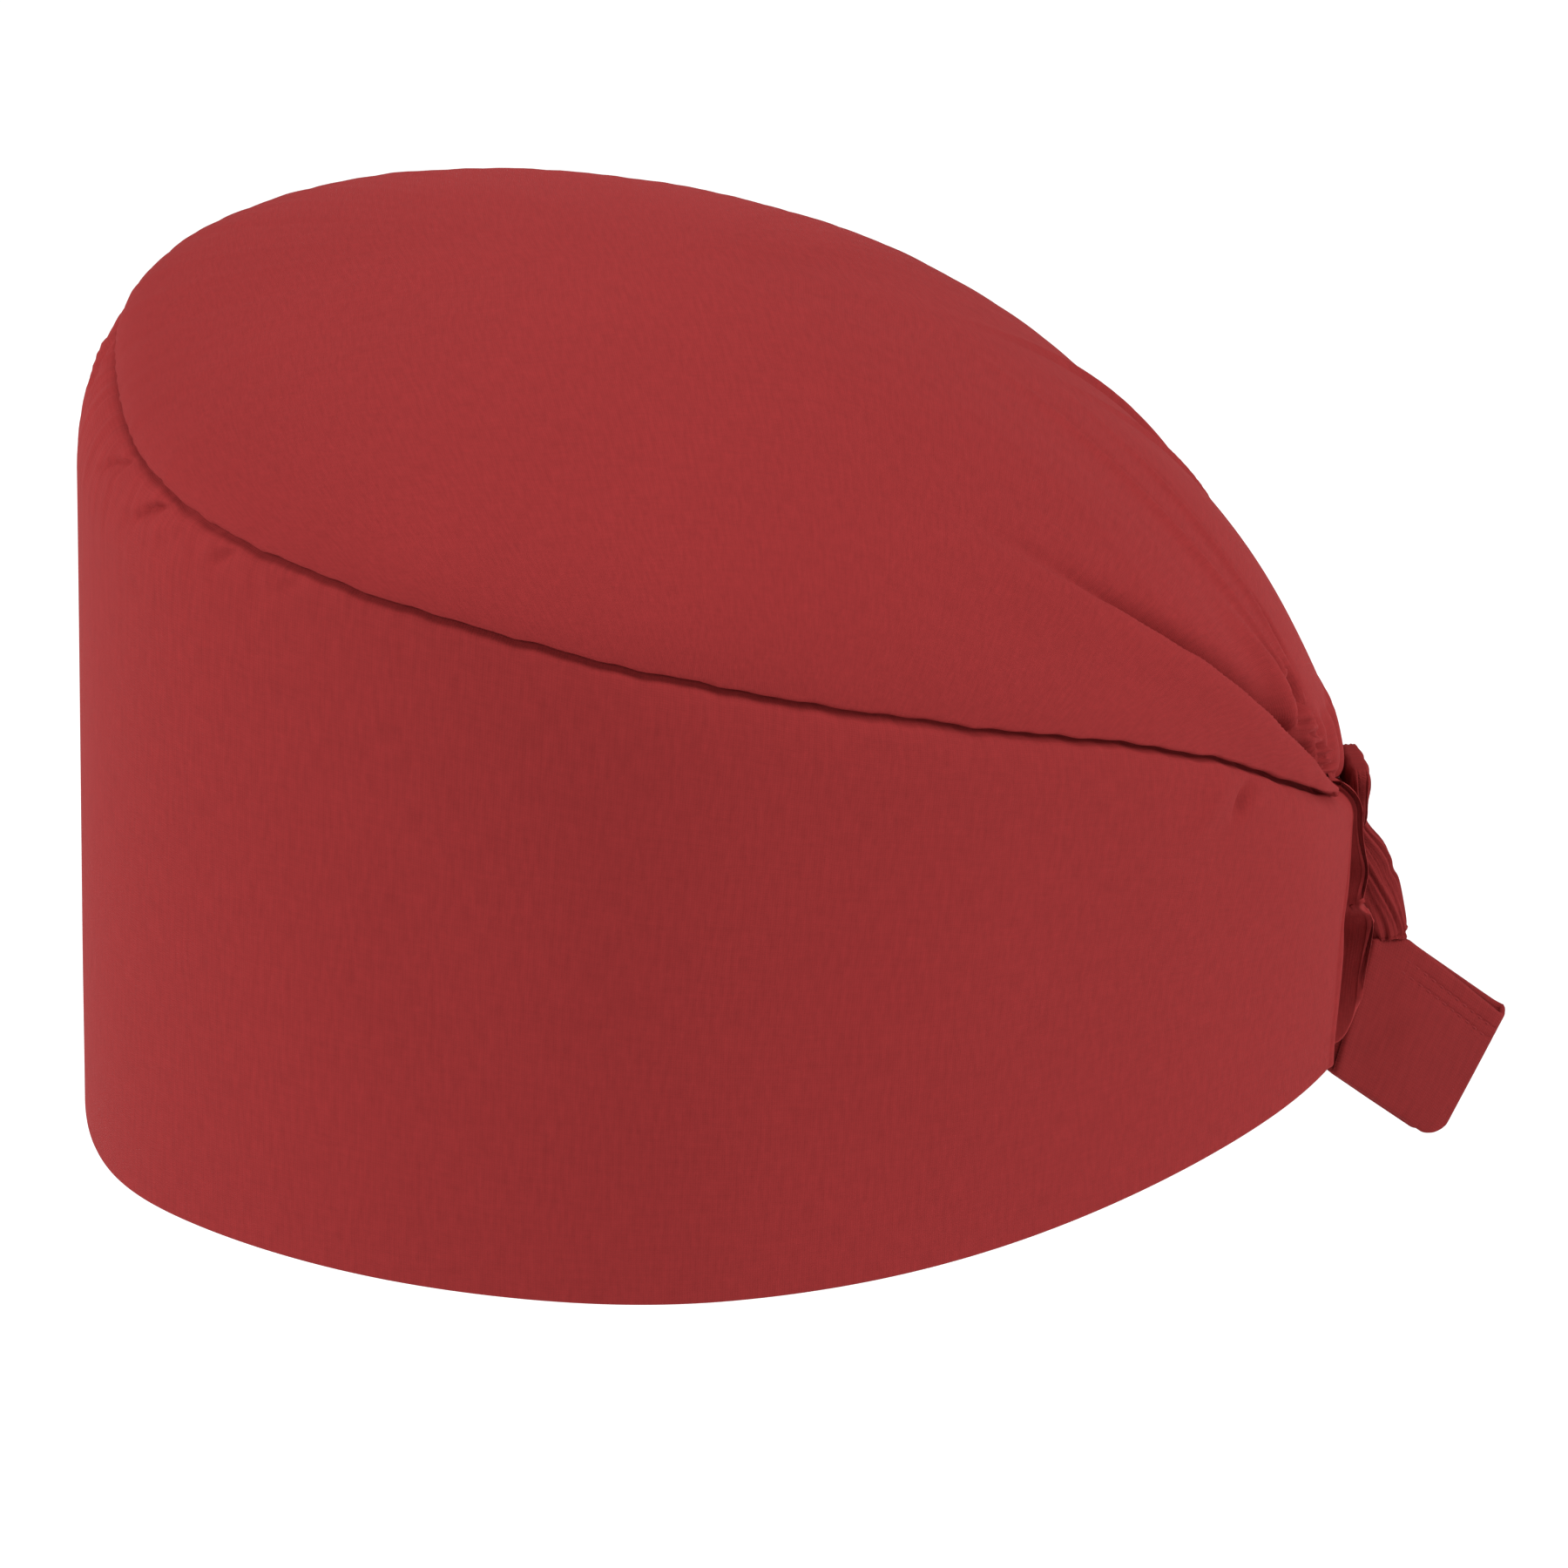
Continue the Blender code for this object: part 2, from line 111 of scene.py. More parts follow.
# The band's ends beside the nape: the angle of the folded edge at shares of the height, and how wide the
# pleat behind it opens there, as a share of NAPE_PLEAT_DEPTH
BandEnd = namedtuple("BandEnd", "height edge_angle opening")
BAND_ENDS = (
    BandEnd(0.00, 165.0, 1.00),
    BandEnd(0.26, 165.8, 1.00),
    BandEnd(0.43, 166.5, 1.02),
    BandEnd(0.51, 167.1, 0.58),
    BandEnd(0.60, 168.0, 0.64),
    BandEnd(0.70, 169.0, 0.46),
    BandEnd(0.80, 169.9, 0.24),
    BandEnd(0.90, 170.8, 0.14),
    BandEnd(1.00, 171.5, 0.09),
)

# The path of the cloth past the folded edge, seen from below: back and across as shares of the pleat's
# depth, and how far the rim climbs as a share of the height
NAPE_PLEAT_DEPTH = 0.0110
NAPE_PLEAT_CLOTH = 0.018
NAPE_PLEAT_STEPS = 48
PleatPoint = namedtuple("PleatPoint", "back across rise")
NAPE_PLEAT = (
    PleatPoint(0.00, 0.00, 0.00),
    PleatPoint(0.08, 0.07, 0.00),
    PleatPoint(0.02, 0.17, 0.00),
    PleatPoint(-0.20, 0.28, 0.00),
    PleatPoint(-0.42, 0.50, -0.01),
    PleatPoint(-0.44, 0.82, -0.03),
    PleatPoint(-0.20, 1.06, -0.06),
    PleatPoint(0.10, 1.08, -0.06),
    PleatPoint(0.34, 1.00, -0.03),
    PleatPoint(0.48, 0.94, 0.03),
    PleatPoint(0.55, 0.90, 0.12),
    PleatPoint(0.55, 0.88, 0.26),
    PleatPoint(0.62, 0.87, 0.39),
)

# Folds of the crown that run down to the nape, each along a curved path from its top through a middle
# point to its foot, as angles round the cap and climbs from the seam. The cloth swells to the crest over
# the front width, on the side of the forehead, then drops past the path and recovers over the back width.
# Heights and widths are in metres.
Fold = namedtuple(
    "Fold", "top_angle top_climb mid_angle mid_climb foot_angle foot_climb crest drop front back edge"
)
CROWN_FOLDS = (
    Fold(118, 41, 142.6, 19.7, 171, -2.5, 0.0024, 0.0056, 0.0190, 0.0130, 0.0022),
    Fold(177, 64, 162.6, 33, 166, 13, 0.0011, 0.0016, 0.0026, 0.0030, 0.0009),
    Fold(184, 58, 169.5, 33, 167, 15, 0.0007, 0.0008, 0.0018, 0.0030, 0.0009),
    Fold(159, 30, 160.5, 19, 162, 7, 0.0022, 0.0026, 0.0045, 0.0050, 0.0022),
    Fold(165, 15, 165.5, 9, 171, 0, 0.0012, 0.0020, 0.0014, 0.0022, 0.0012),
)

# How a fold comes in at the top and fades past the foot, in shares of the way down, how much the slant of
# its path narrows it, and how fast every rounded form falls off
FOLD_FADE_IN = 1.5
FOLD_END = 1.15
FOLD_FADE_OUT = 5.0
FOLD_STEEPNESS = 0.8
BELL_SHARPNESS = 1.6

# Small hollows between the gathers: place, depth, half length and half width in metres, and the slant of
# the length from upright, towards the nape.
Pit = namedtuple("Pit", "angle climb depth half_length half_width slant")
CROWN_PITS = (
    Pit(164.8, 14.5, 0.0066, 0.0052, 0.0025, 14),
    Pit(160.8, 9.6, 0.0034, 0.0026, 0.0014, -40),
    Pit(165.2, 7.0, 0.0034, 0.0030, 0.0013, -42),
    Pit(168.0, 22.5, 0.0026, 0.0075, 0.0016, 12),
    Pit(169.6, 2.0, 0.0030, 0.0024, 0.0012, -20),
)

# The line of small loops where the crown's gathers meet, from the foot of the folds to the casing
ChainPoint = namedtuple("ChainPoint", "climb angle")
CROWN_CHAIN = (
    ChainPoint(-1.0, 172.2),
    ChainPoint(3.0, 171.0),
    ChainPoint(7.5, 168.0),
    ChainPoint(11.0, 165.0),
    ChainPoint(14.5, 162.5),
)
CHAIN_HEIGHT = 0.0011
CHAIN_HALF_WIDTH = 0.0022
CHAIN_PERIOD = 1.7
CHAIN_END = 15.5

# Fine gathers over the nape, by their distance apart in degrees, and the shallow hollow above them
GATHER_DEPTH = 0.0007
GATHER_PERIOD = 2.6
GATHER_FROM = 165.0
GATHER_CLIMB = 13.0
HOLLOW_DEPTH = 0.0004
HOLLOW_CLIMB = 17.0
HOLLOW_HALF_ANGLE = 13.0
HOLLOW_HALF_CLIMB = 12.0

# Rows of the meshes: the crown's are closer together up to CROWN_LOW_CLIMB, where its folds lie
CROWN_ROWS = 117
CROWN_LOW_ROWS = 90
CROWN_LOW_CLIMB = 42.0
CROWN_ROW_CROWDING = 1.35
BAND_ROWS = 74
BAND_ROW_CROWDING = 1.25

# Shallow dents and pulls in the band: place round the cap, share of the height, depth in metres, and
# the widths in degrees and in shares of the height, with a lean in degrees for each whole height. The
# small ones are the puckers under the seam, and the last two are the dart near the nape.
Dent = namedtuple("Dent", "angle height depth half_angle half_height lean")
BAND_DENTS = (
    Dent(62, 0.45, 0.0011, 20.0, 0.60, -14.0),
    Dent(112, 0.50, -0.0006, 22.0, 0.55, 10.0),
    Dent(24, 0.50, -0.0005, 16.0, 0.60, 0.0),
    Dent(12.5, 0.976, 0.0014, 1.5, 0.028, 170.0),
    Dent(16.0, 0.974, -0.0004, 1.7, 0.030, 170.0),
    Dent(24.5, 0.974, 0.0018, 1.6, 0.036, 130.0),
    Dent(28.2, 0.974, -0.0005, 1.8, 0.034, 130.0),
    Dent(37.5, 0.980, 0.0010, 1.4, 0.026, 90.0),
    Dent(46.0, 0.980, 0.0005, 1.4, 0.024, 70.0),
    Dent(150, 0.92, 0.0016, 1.3, 0.080, 22.0),
    Dent(146, 0.90, -0.0006, 2.5, 0.110, 22.0),
)

# The casing between the band's ends
CASING_HEIGHT = 0.0085
CASING_CLEARANCE = 0.0004
CASING_RUFFLE = 0.00055
CASING_RUFFLES = 7
CASING_GROOVE = 0.0004
CASING_GROOVE_WIDTH = 0.05
CASING_FULLNESS = 1.8

# The knot: its sizes, its place beside and above the casing's middle, and its creases
KNOT_DEPTH = 0.0033
KNOT_WIDTH = 0.0120
KNOT_HEIGHT = 0.0110
KNOT_SIDE = 0.0030
KNOT_RISE = 0.0009
KNOT_SQUARENESS = 0.42
KNOT_TAPER = 0.12
KNOT_CREASE = 0.0007
KNOT_CREASES = 8.0
KNOT_WRAP = 0.00016

# The neck of the tie, with its width at shares of the way down as shares of NECK_WIDTH
NECK_WIDTH = 0.0066
NECK_THICKNESS = 0.0042
NECK_BEND = 0.0020
NECK_CREASE = 0.00055
NECK_CREASES = 11
NECK_RIDGE = 0.00012
NECK_TANGLE = 0.0002
NECK_TANGLE_FROM = 0.82
NECK_PINCH = 0.10
NECK_PINCH_AT = 0.30
NECK_PINCH_WIDTH = 0.05
NeckWidth = namedtuple("NeckWidth", "down share")
NECK_WIDTHS = (
    NeckWidth(0.00, 0.60),
    NeckWidth(0.10, 0.90),
    NeckWidth(0.26, 1.13),
    NeckWidth(0.52, 1.06),
    NeckWidth(0.80, 0.97),
    NeckWidth(1.00, 0.93),
)

# The tie's flat end, folded back on itself: sizes in metres, and its attitude in degrees
TIE_WIDTH = 0.0246
TIE_REACH = 0.0294
TIE_HALF_GAP = 0.0012
TIE_PINCH = (CLOTH + MODEL_GAP) / 2
TIE_STRAIGHT = 1 - TIE_HALF_GAP / TIE_REACH
TIE_SKEW = 0.0017
TIE_CORNER = 0.0052
TIE_BOW = 0.0006
TIE_TURN = 32.0
TIE_LEAN = 4.0
TIE_SLOPE = 41.3
TIE_SHOULDER = 0.0070
TIE_SHOULDER_DROP = 0.0032
TIE_BELOW_KNOT = 0.0261
TIE_BEHIND_KNOT = 0.0101
TIE_EDGE_ROWS = (0.0004, 0.0008, 0.0014, 0.0020)

# The two lines of stitching on the tie, by their distance below its upper edge, and their stitches
TIE_STITCH_LINES = (0.0028, 0.0048)
STITCH_PITCH = 0.0024
STITCH_LENGTH = 0.0018
STITCH_RADIUS = 0.00014
STITCH_START = 0.0010
STITCH_MARGIN = 0.0019
STITCH_GROOVE = 0.00022
STITCH_GROOVE_WIDTH = 0.0006

# Colours, in linear light, and the spacing of the threads
CAP_RED = (0.236, 0.0224, 0.0228)
# The tie's red is the cap's red made darker: painted shade for the dimmer light that falls on the tie
TIE_SHADED_RED = (0.186, 0.0172, 0.0175)
THREAD_RED = (0.225, 0.022, 0.023)
FLOOR_TONE = (0.93, 0.93, 0.93)
THREAD_PITCH = 0.00042

# The camera: its place in degrees, and its focal length and shift in the photo's pixels
CAMERA_AZIMUTH = -7.14
CAMERA_ELEVATION = 25.78
CAMERA_DISTANCE = 1.2
CAMERA_AIM = (0.0, 0.0, 0.07)
PHOTO_PIXELS = 1800.0
FOCAL_PIXELS = 8892.0
SHIFT_RIGHT = 146.5
SHIFT_DOWN = 112.9
SENSOR_WIDTH = 36.0

# The studio
Light = namedtuple("Light", "name azimuth elevation distance size power")
LIGHTS = (
    Light("left", -95, 30, 2.2, 1.2, 22.0),
    Light("front", -40, 34, 2.4, 0.7, 13.0),
    Light("right", 76, 26, 2.2, 0.9, 25.0),
    Light("top", -20, 84, 2.4, 1.6, 20.0),
)
LIGHT_AIM = (0.0, 0.0, 0.06)
SKY_STRENGTH = 0.56
FLOOR_LEVEL = -0.16
FLOOR_SIZE = 12.0


def smooth_curve(xs, ys):
    """A smooth curve through a table's points, level at both ends, as a function of arrays."""
    xs = np.array(xs, float)
    ys = np.array(ys, float)
    steps = np.diff(xs)
    count = len(xs)
    system = np.eye(count)
    target = np.zeros(count)
    for i in range(1, count - 1):
        before, after = steps[i - 1], steps[i]
        system[i, i - 1:i + 2] = after, 2 * (before + after), before
        target[i] = 3 * (after * (ys[i] - ys[i - 1]) / before + before * (ys[i + 1] - ys[i]) / after)
    slopes = np.linalg.solve(system, target)

    def value(x):
        x = np.clip(x, xs[0], xs[-1])
        i = np.clip(np.searchsorted(xs, x, side="right") - 1, 0, count - 2)
        t = (x - xs[i]) / steps[i]
        start = ys[i] * (1 + 2 * t) * (1 - t) ** 2 + slopes[i] * steps[i] * t * (1 - t) ** 2
        end = ys[i + 1] * t * t * (3 - 2 * t) - slopes[i + 1] * steps[i] * t * t * (1 - t)
        return start + end

    return value


def column(table, name, by):
    """A table's column as a smooth curve over another of its columns."""
    return smooth_curve([getattr(row, by) for row in table], [getattr(row, name) for row in table])


rim_rise = column(SECTIONS, "rim_rise", "angle")
seam_height = column(SECTIONS, "seam_height", "angle")
rim_reach = column(SECTIONS, "rim_reach", "angle")
seam_reach = column(SECTIONS, "seam_reach", "angle")
end_angle = column(BAND_ENDS, "edge_angle", "height")
end_opening = column(BAND_ENDS, "opening", "height")
neck_width = column(NECK_WIDTHS, "share", "down")


def folded(angle):
    """The angle from the forehead, 0 to 180, the same on both sides."""
    turned = np.abs(angle) % 360
    return np.minimum(turned, 360 - turned)


def oval(angle):
    """The rim's reach at an angle: half ellipses, a shorter one in front and a longer one behind."""
    c = np.cos(np.radians(angle))
    s = np.sin(np.radians(angle))
    return 1 / np.hypot(c / np.where(c > 0, RIM_FRONT, RIM_BACK), s / RIM_HALF_WIDTH)


def at(angle, reach, height):
    """Points at an angle round the cap, a reach out from its middle and a height."""
    turn = np.radians(angle)
    return np.stack(np.broadcast_arrays(-reach * np.cos(turn), -reach * np.sin(turn), height), axis=-1)


def ease(t):
    """0 up to 0 and 1 from 1, with a smooth rise between."""
    t = np.clip(t, 0.0, 1.0)
    return t * t * (3 - 2 * t)


def bell(distance, front, back=None):
    """1 on a form's line, falling smoothly to under a tenth at its width in front of it and behind."""
    width = front if back is None else np.where(distance < 0, front, back)
    return np.exp(-(BELL_SHARPNESS * distance / width) ** 2)


def waver(angle, turns, phases):
    """A gentle irregular wave round the cap, from a few waves with whole numbers of turns."""
    return sum(np.sin(np.radians(angle) * n + p) for n, p in zip(turns, phases)) / len(turns)


def seam_z(angle):
    """The seam's height, with the small wander of a sewn line."""
    wander = SEAM_WANDER * waver(angle, (17, 29, 53, 91), (0.4, 2.1, 4.0, 1.2))
    wander = wander * ease((175 - folded(angle)) / 20)
    return BAND_HEIGHT * seam_height(folded(angle)) + wander


def seam_dip(side, distance):
    """How far the cloth is drawn in at a distance from the seam, down to nothing near the nape."""
    dip = SEAM_DIP * np.maximum(0.0, 1 - distance / SEAM_DIP_REACH) ** 2
    return dip * ease((SEAM_DIP_END - side) / SEAM_DIP_FADE)


def seam_puckers(angle, distance, pucker):
    """Small gathers that the stitching pulls into the cloth along the seam, deeper at the forehead."""
    side = folded(angle)
    even = waver(angle, (83, 131, 197), (1.0, 3.3, 5.1))
    front = ease((75 - side) / 60)
    return pucker.height * (0.3 + 0.7 * front) * even * np.exp(-distance / pucker.reach)


def fold_relief(fold, side, climb):
    """One fold's height over the crown: a swell up to its path and a drop just past it."""
    top, mid, foot = fold.top_climb, fold.mid_climb, fold.foot_climb
    path = (
        fold.top_angle * (climb - mid) * (climb - foot) / ((top - mid) * (top - foot))
        + fold.mid_angle * (climb - top) * (climb - foot) / ((mid - top) * (mid - foot))
        + fold.foot_angle * (climb - top) * (climb - mid) / ((foot - top) * (foot - mid))
    )
    path = np.where(climb > top, fold.top_angle, path)
    down = (top - climb) / (top - foot)
    strength = ease(down * FOLD_FADE_IN) * ease((FOLD_END - down) * FOLD_FADE_OUT)
    around = np.radians(1.0) * MEAN_REACH * np.cos(np.radians(np.clip(climb, 0, 80)))
    slant = math.atan2((fold.top_angle - fold.foot_angle) * FOLD_STEEPNESS, top - foot)
    distance = (side - path) * around * math.cos(slant)
    edge = fold.edge * (1 + 2.0 * np.clip(1 - down, 0, 1))
    past = ease(distance / edge)
    swell = fold.crest * bell(distance, fold.front, 1.0) * (1 - past)
    hollow = fold.drop * bell(distance, 1.0, fold.back) * past
    return strength * (swell - hollow)


def pit_relief(pit, side, climb):
    """One hollow's depth, as a negative height over the crown."""
    across = (side - pit.angle) * np.radians(1.0) * MEAN_REACH * math.cos(math.radians(pit.climb))
    up = (climb - pit.climb) * np.radians(1.0) * CROWN_RISE
    lean = math.radians(pit.slant)
    along = up * math.cos(lean) + across * math.sin(lean)
    wide = across * math.cos(lean) - up * math.sin(lean)
    return -pit.depth * bell(along, pit.half_length) * bell(wide, pit.half_width)


def chain_relief(side, climb):
    """The height of the line of small loops."""
    path = np.interp(climb, [p.climb for p in CROWN_CHAIN], [p.angle for p in CROWN_CHAIN])
    across = (side - path) * np.radians(1.0) * MEAN_REACH * 0.75
    loops = np.cos(2 * np.pi * climb / CHAIN_PERIOD) * bell(across, CHAIN_HALF_WIDTH)
    return CHAIN_HEIGHT * loops * ease((CHAIN_END - climb) / 2)


def crown_relief(angle, climb, distance):
    """All that stands up from or sinks into the crown's plain dome."""
    side = folded(angle)
    relief = sum(fold_relief(fold, side, climb) for fold in CROWN_FOLDS)
    relief = relief + sum(pit_relief(pit, side, climb) for pit in CROWN_PITS)
    relief = relief + chain_relief(side, climb)
    drift = 0.9 * np.sin(np.radians(side * 23)) + 0.03 * climb * np.sin(np.radians(side * 9))
    ripple = np.cos(2 * np.pi * (180 - side + drift) / GATHER_PERIOD)
    gathered = ease((side - GATHER_FROM) / 5) * ease((GATHER_CLIMB - climb) / 4)
    relief = relief + gathered * GATHER_DEPTH * ripple
    hollow = bell(180 - side, HOLLOW_HALF_ANGLE) * bell(climb - HOLLOW_CLIMB, HOLLOW_HALF_CLIMB)
    relief = relief - HOLLOW_DEPTH * hollow
    relief = relief + seam_puckers(angle + 1.3, distance, CROWN_PUCKER)
    slack = CROWN_SLACK * waver(angle + 0.8 * climb, (5, 8, 13), (0.3, 1.9, 4.4))
    return relief + slack * ease(climb / 12) * ease((86 - climb) / 30)


def crown_surface(angle, climb, distance):
    """The crown at an angle round it, a climb from the seam, 0, to the peak, 90, and that way's distance."""
    side = folded(angle)
    foot = at(angle, oval(angle) * seam_reach(side), seam_z(angle) + SEAM_GAP / 2)
    peak = np.array((-CROWN_PEAK_FORWARD, 0, CROWN_HEIGHT))
    along = np.cos(np.radians(angle))
    end_power = np.where(along > 0, CROWN_POWER_FRONT, CROWN_POWER_BACK)
    power = CROWN_POWER_SIDE + (end_power - CROWN_POWER_SIDE) * along ** 2
    inward = np.cos(np.radians(climb)) ** power
    upward = np.sin(np.radians(climb)) ** power
    point = peak + (foot - peak) * np.stack((inward, inward, 1 - upward), axis=-1)
    level = at(angle, 1.0, 0.0)
    outward = level * np.cos(np.radians(climb))[..., None]
    outward = outward + np.array((0, 0, 1.0)) * np.sin(np.radians(climb))[..., None]
    relief = crown_relief(angle, climb, distance) - seam_dip(side, distance)
    return point + outward * relief[..., None]


def climb_for_height(angle, height):
    """The climb at which the crown is a height above the seam, near it."""
    span = CROWN_HEIGHT - BAND_HEIGHT * seam_height(folded(angle))
    return np.degrees(np.arcsin(np.minimum(1.0, height / span)))


def shoulder(height):
    """How far the band is drawn in at a share of its height: a slight lean, then a round shoulder."""
    up = SHOULDER_TURN * np.clip((height - (1 - SHOULDER_ROUND)) / SHOULDER_ROUND, 0, 1)
    drawn = (1 - np.sqrt(1 - up ** 2)) / (1 - math.sqrt(1 - SHOULDER_TURN ** 2))
    return SHOULDER_LEAN * height + (1 - SHOULDER_LEAN) * drawn


def band_surface(angle, height, distance):
    """The band at an angle round it, a share of its height and a distance below the seam."""
    side = folded(angle)
    low = BAND_HEIGHT * rim_rise(side)
    high = seam_z(angle) - SEAM_GAP / 2
    share = rim_reach(side) + (seam_reach(side) - rim_reach(side)) * shoulder(height)
    relief = seam_puckers(angle, distance, BAND_PUCKER) - seam_dip(side, distance)
    for dent in BAND_DENTS:
        up = height - dent.height
        across = side - dent.angle - dent.lean * up
        relief = relief - dent.depth * bell(across, dent.half_angle) * bell(up, dent.half_height)
    slack = BAND_SLACK * waver(angle + 12 * height, (6, 9, 14), (2.2, 0.7, 3.9))
    relief = relief + slack * ease(height * 4)
    return at(angle, oval(angle) * share + relief, low + (high - low) * height)


def grid_normals(points, closed):
    """The direction out of the cloth at each point of a grid."""
    if closed:
        along = np.roll(points, -1, axis=0) - np.roll(points, 1, axis=0)
    else:
        along = np.gradient(points, axis=0)
    up = np.gradient(points, axis=1)
    normal = np.cross(along, up)
    return normal / np.maximum(np.linalg.norm(normal, axis=-1, keepdims=True), 1e-12)


def walk_round(columns, rows, closed):
    """The open boundary of a grid as (column, row), in the order its faces run."""
    if closed:
        return [(i, 0) for i in range(columns)]
    steps = [(i, 0) for i in range(columns - 1)]
    steps += [(columns - 1, j) for j in range(rows - 1)]
    steps += [(i, rows - 1) for i in range(columns - 1, 0, -1)]
    steps += [(0, j) for j in range(rows - 1, 0, -1)]
    return steps


def outward_at(points, i, j, closed):
    """The direction out of the cloth at a boundary point, in the cloth's own surface."""
    columns, rows = points.shape[:2]
    out = np.zeros(3)
    if j == 0:
        out += unit(points[i, 0] - points[i, 1])
    if j == rows - 1 and not closed:
        out += unit(points[i, j] - points[i, j - 1])
    if i == 0 and not closed:
        out += unit(points[0, j] - points[1, j])
    if i == columns - 1 and not closed:
        out += unit(points[i, j] - points[i - 1, j])
    return unit(out)


def direction(azimuth, elevation):
    """The way out from the cap at an azimuth, 0 towards -Y and 90 towards +X, and an elevation."""
    turn = math.radians(azimuth)
    rise = math.radians(elevation)
    return np.array((math.sin(turn) * math.cos(rise), -math.cos(turn) * math.cos(rise), math.sin(rise)))


def unit(vector):
    """The vector at length 1."""
    return vector / max(np.linalg.norm(vector), 1e-12)


def cloth_wall(name, points, weave, thickness, outside=0.0, closed=False, tip=None, inner_step=1):
    """A closed wall of cloth with rounded edges from a grid of points.

    points is columns by rows by 3, closed joins the last column to the first, and tip closes the top row
    to one point. weave is columns by rows by 2, the thread's coordinates in metres. outside is the share
    of the thickness that lies outside the points. The inner face keeps one row in inner_step.
    """
    columns, rows = points.shape[:2]
    normals = grid_normals(points, closed)
    outer = points + normals * thickness * outside
    inner = outer - normals * thickness
    vertices = [outer.reshape(-1, 3), inner.reshape(-1, 3)]
    threads = [weave.reshape(-1, 2)] * 2
    half = columns * rows

    def place(i, j):
        return (i % columns) * rows + j

    faces = []
    for i in range(columns if closed else columns - 1):
        for j in range(rows - 1):
            faces.append((place(i, j), place(i + 1, j), place(i + 1, j + 1), place(i, j + 1)))
        kept = list(range(0, rows - 1, inner_step)) + [rows - 1]
        for j, up in zip(kept, kept[1:]):
            quad = (place(i, j), place(i + 1, j), place(i + 1, up), place(i, up))
            faces.append(tuple(half + k for k in reversed(quad)))
    count = 2 * half
    if tip is not None:
        vertices.append(np.array([tip, np.array(tip) - np.array((0, 0, thickness))]))
        threads.append(np.zeros((2, 2)))
        for i in range(columns):
            last, after = place(i, rows - 1), place(i + 1, rows - 1)
            faces.append((last, after, count))
            faces.append((half + after, half + last, count + 1))
        count += 2
    border = walk_round(columns, rows, closed)
    loops = [[place(i, j) for i, j in border]]
    for turn in (45, 90, 135):
        ring = []
        for i, j in border:
            middle = (outer[i, j] + inner[i, j]) / 2
            swing = math.radians(turn)
            out = outward_at(points, i, j, closed)
            ring.append(middle + (normals[i, j] * math.cos(swing) + out * math.sin(swing)) * thickness / 2)
        vertices.append(np.array(ring))
        threads.append(np.array([weave[i, j] for i, j in border]))
        loops.append([count + k for k in range(len(border))])
        count += len(border)
    loops.append([half + place(i, j) for i, j in border])
    for near, far in zip(loops, loops[1:]):
        for k in range(len(border)):
            after = (k + 1) % len(border)
            faces.append((near[after], near[k], far[k], far[after]))
    return mesh_object(name, np.concatenate(vertices), faces, np.concatenate(threads))


def mesh_object(name, vertices, faces, threads):
    """A smooth mesh in the scene, with its thread coordinates in a UV layer and no unused vertices."""
    mesh = bpy.data.meshes.new(name)
    used = np.zeros(len(vertices), dtype=bool)
    used[np.concatenate([np.asarray(face) for face in faces])] = True
    renumbered = np.cumsum(used) - 1
    faces = [tuple(renumbered[list(face)].tolist()) for face in faces]
    vertices, threads = vertices[used], np.asarray(threads)[used]
    mesh.from_pydata(vertices.tolist(), [], faces)
    layer = mesh.uv_layers.new(name="weave")
    corners = np.empty(len(mesh.loops), dtype=np.int64)
    mesh.loops.foreach_get("vertex_index", corners)
    layer.data.foreach_set("uv", np.asarray(threads, dtype=np.float32)[corners].ravel())
    mesh.shade_smooth()
    piece = bpy.data.objects.new(name, mesh)
    bpy.context.scene.collection.objects.link(piece)
    return piece


def spread(start, end, step, near_step, near_from):
    """Angles from start to end, closer together where the folded angle is past near_from."""
    found = [start]
    while True:
        size = near_step if folded(found[-1] + 0.01) >= near_from else step
        if found[-1] + 1.5 * size >= end:
            return np.array(found + [end])
        found.append(found[-1] + size)


def make_crown():
    """The crown, its mesh rows close together at the seam and up to its folds."""
    angles = spread(-180.0, 180.0, 1.0, 0.36, 116)[:-1]
    distances = np.array(SEAM_ROWS)
    rows = np.arange(1, CROWN_ROWS)
    low = (rows / CROWN_LOW_ROWS) ** CROWN_ROW_CROWDING * CROWN_LOW_CLIMB
    high_rows = CROWN_ROWS - CROWN_LOW_ROWS
    high = CROWN_LOW_CLIMB + (90 - CROWN_LOW_CLIMB) * (rows - CROWN_LOW_ROWS) / high_rows
    climbs = np.where(rows < CROWN_LOW_ROWS, low, high)
    angle = np.repeat(angles[:, None], len(distances) + len(climbs), axis=1)
    near = climb_for_height(angles[:, None], distances[None, :])
    first = near[:, -1:]
    climb = np.concatenate((near, first + (90 - first) * climbs[None, :] / 90), axis=1)
    steps = np.concatenate((distances, distances[-1] + 0.1 * climbs / 90))
    distance = np.repeat(steps[None, :], len(angles), axis=0)
    points = crown_surface(angle, climb, distance)
    tip = crown_surface(np.array(0.0), np.array(90.0), np.array(0.1))
    reach = MEAN_REACH * np.radians(90 - climb)
    weave = np.stack((reach * np.cos(np.radians(angle)), reach * np.sin(np.radians(angle))), axis=-1)
    return cloth_wall("crown_cloth", points, weave, CLOTH, closed=True, tip=tip, inner_step=4)


def pleat_path(steps):
    """The nape pleat's path from the folded edge: back, across and the rim's rise, smoothed."""
    xs = np.arange(len(NAPE_PLEAT), dtype=float)
    t = np.linspace(0, len(NAPE_PLEAT) - 1, steps + 1)[1:]
    return [smooth_curve(xs, [getattr(p, name) for p in NAPE_PLEAT])(t) for name in PleatPoint._fields]


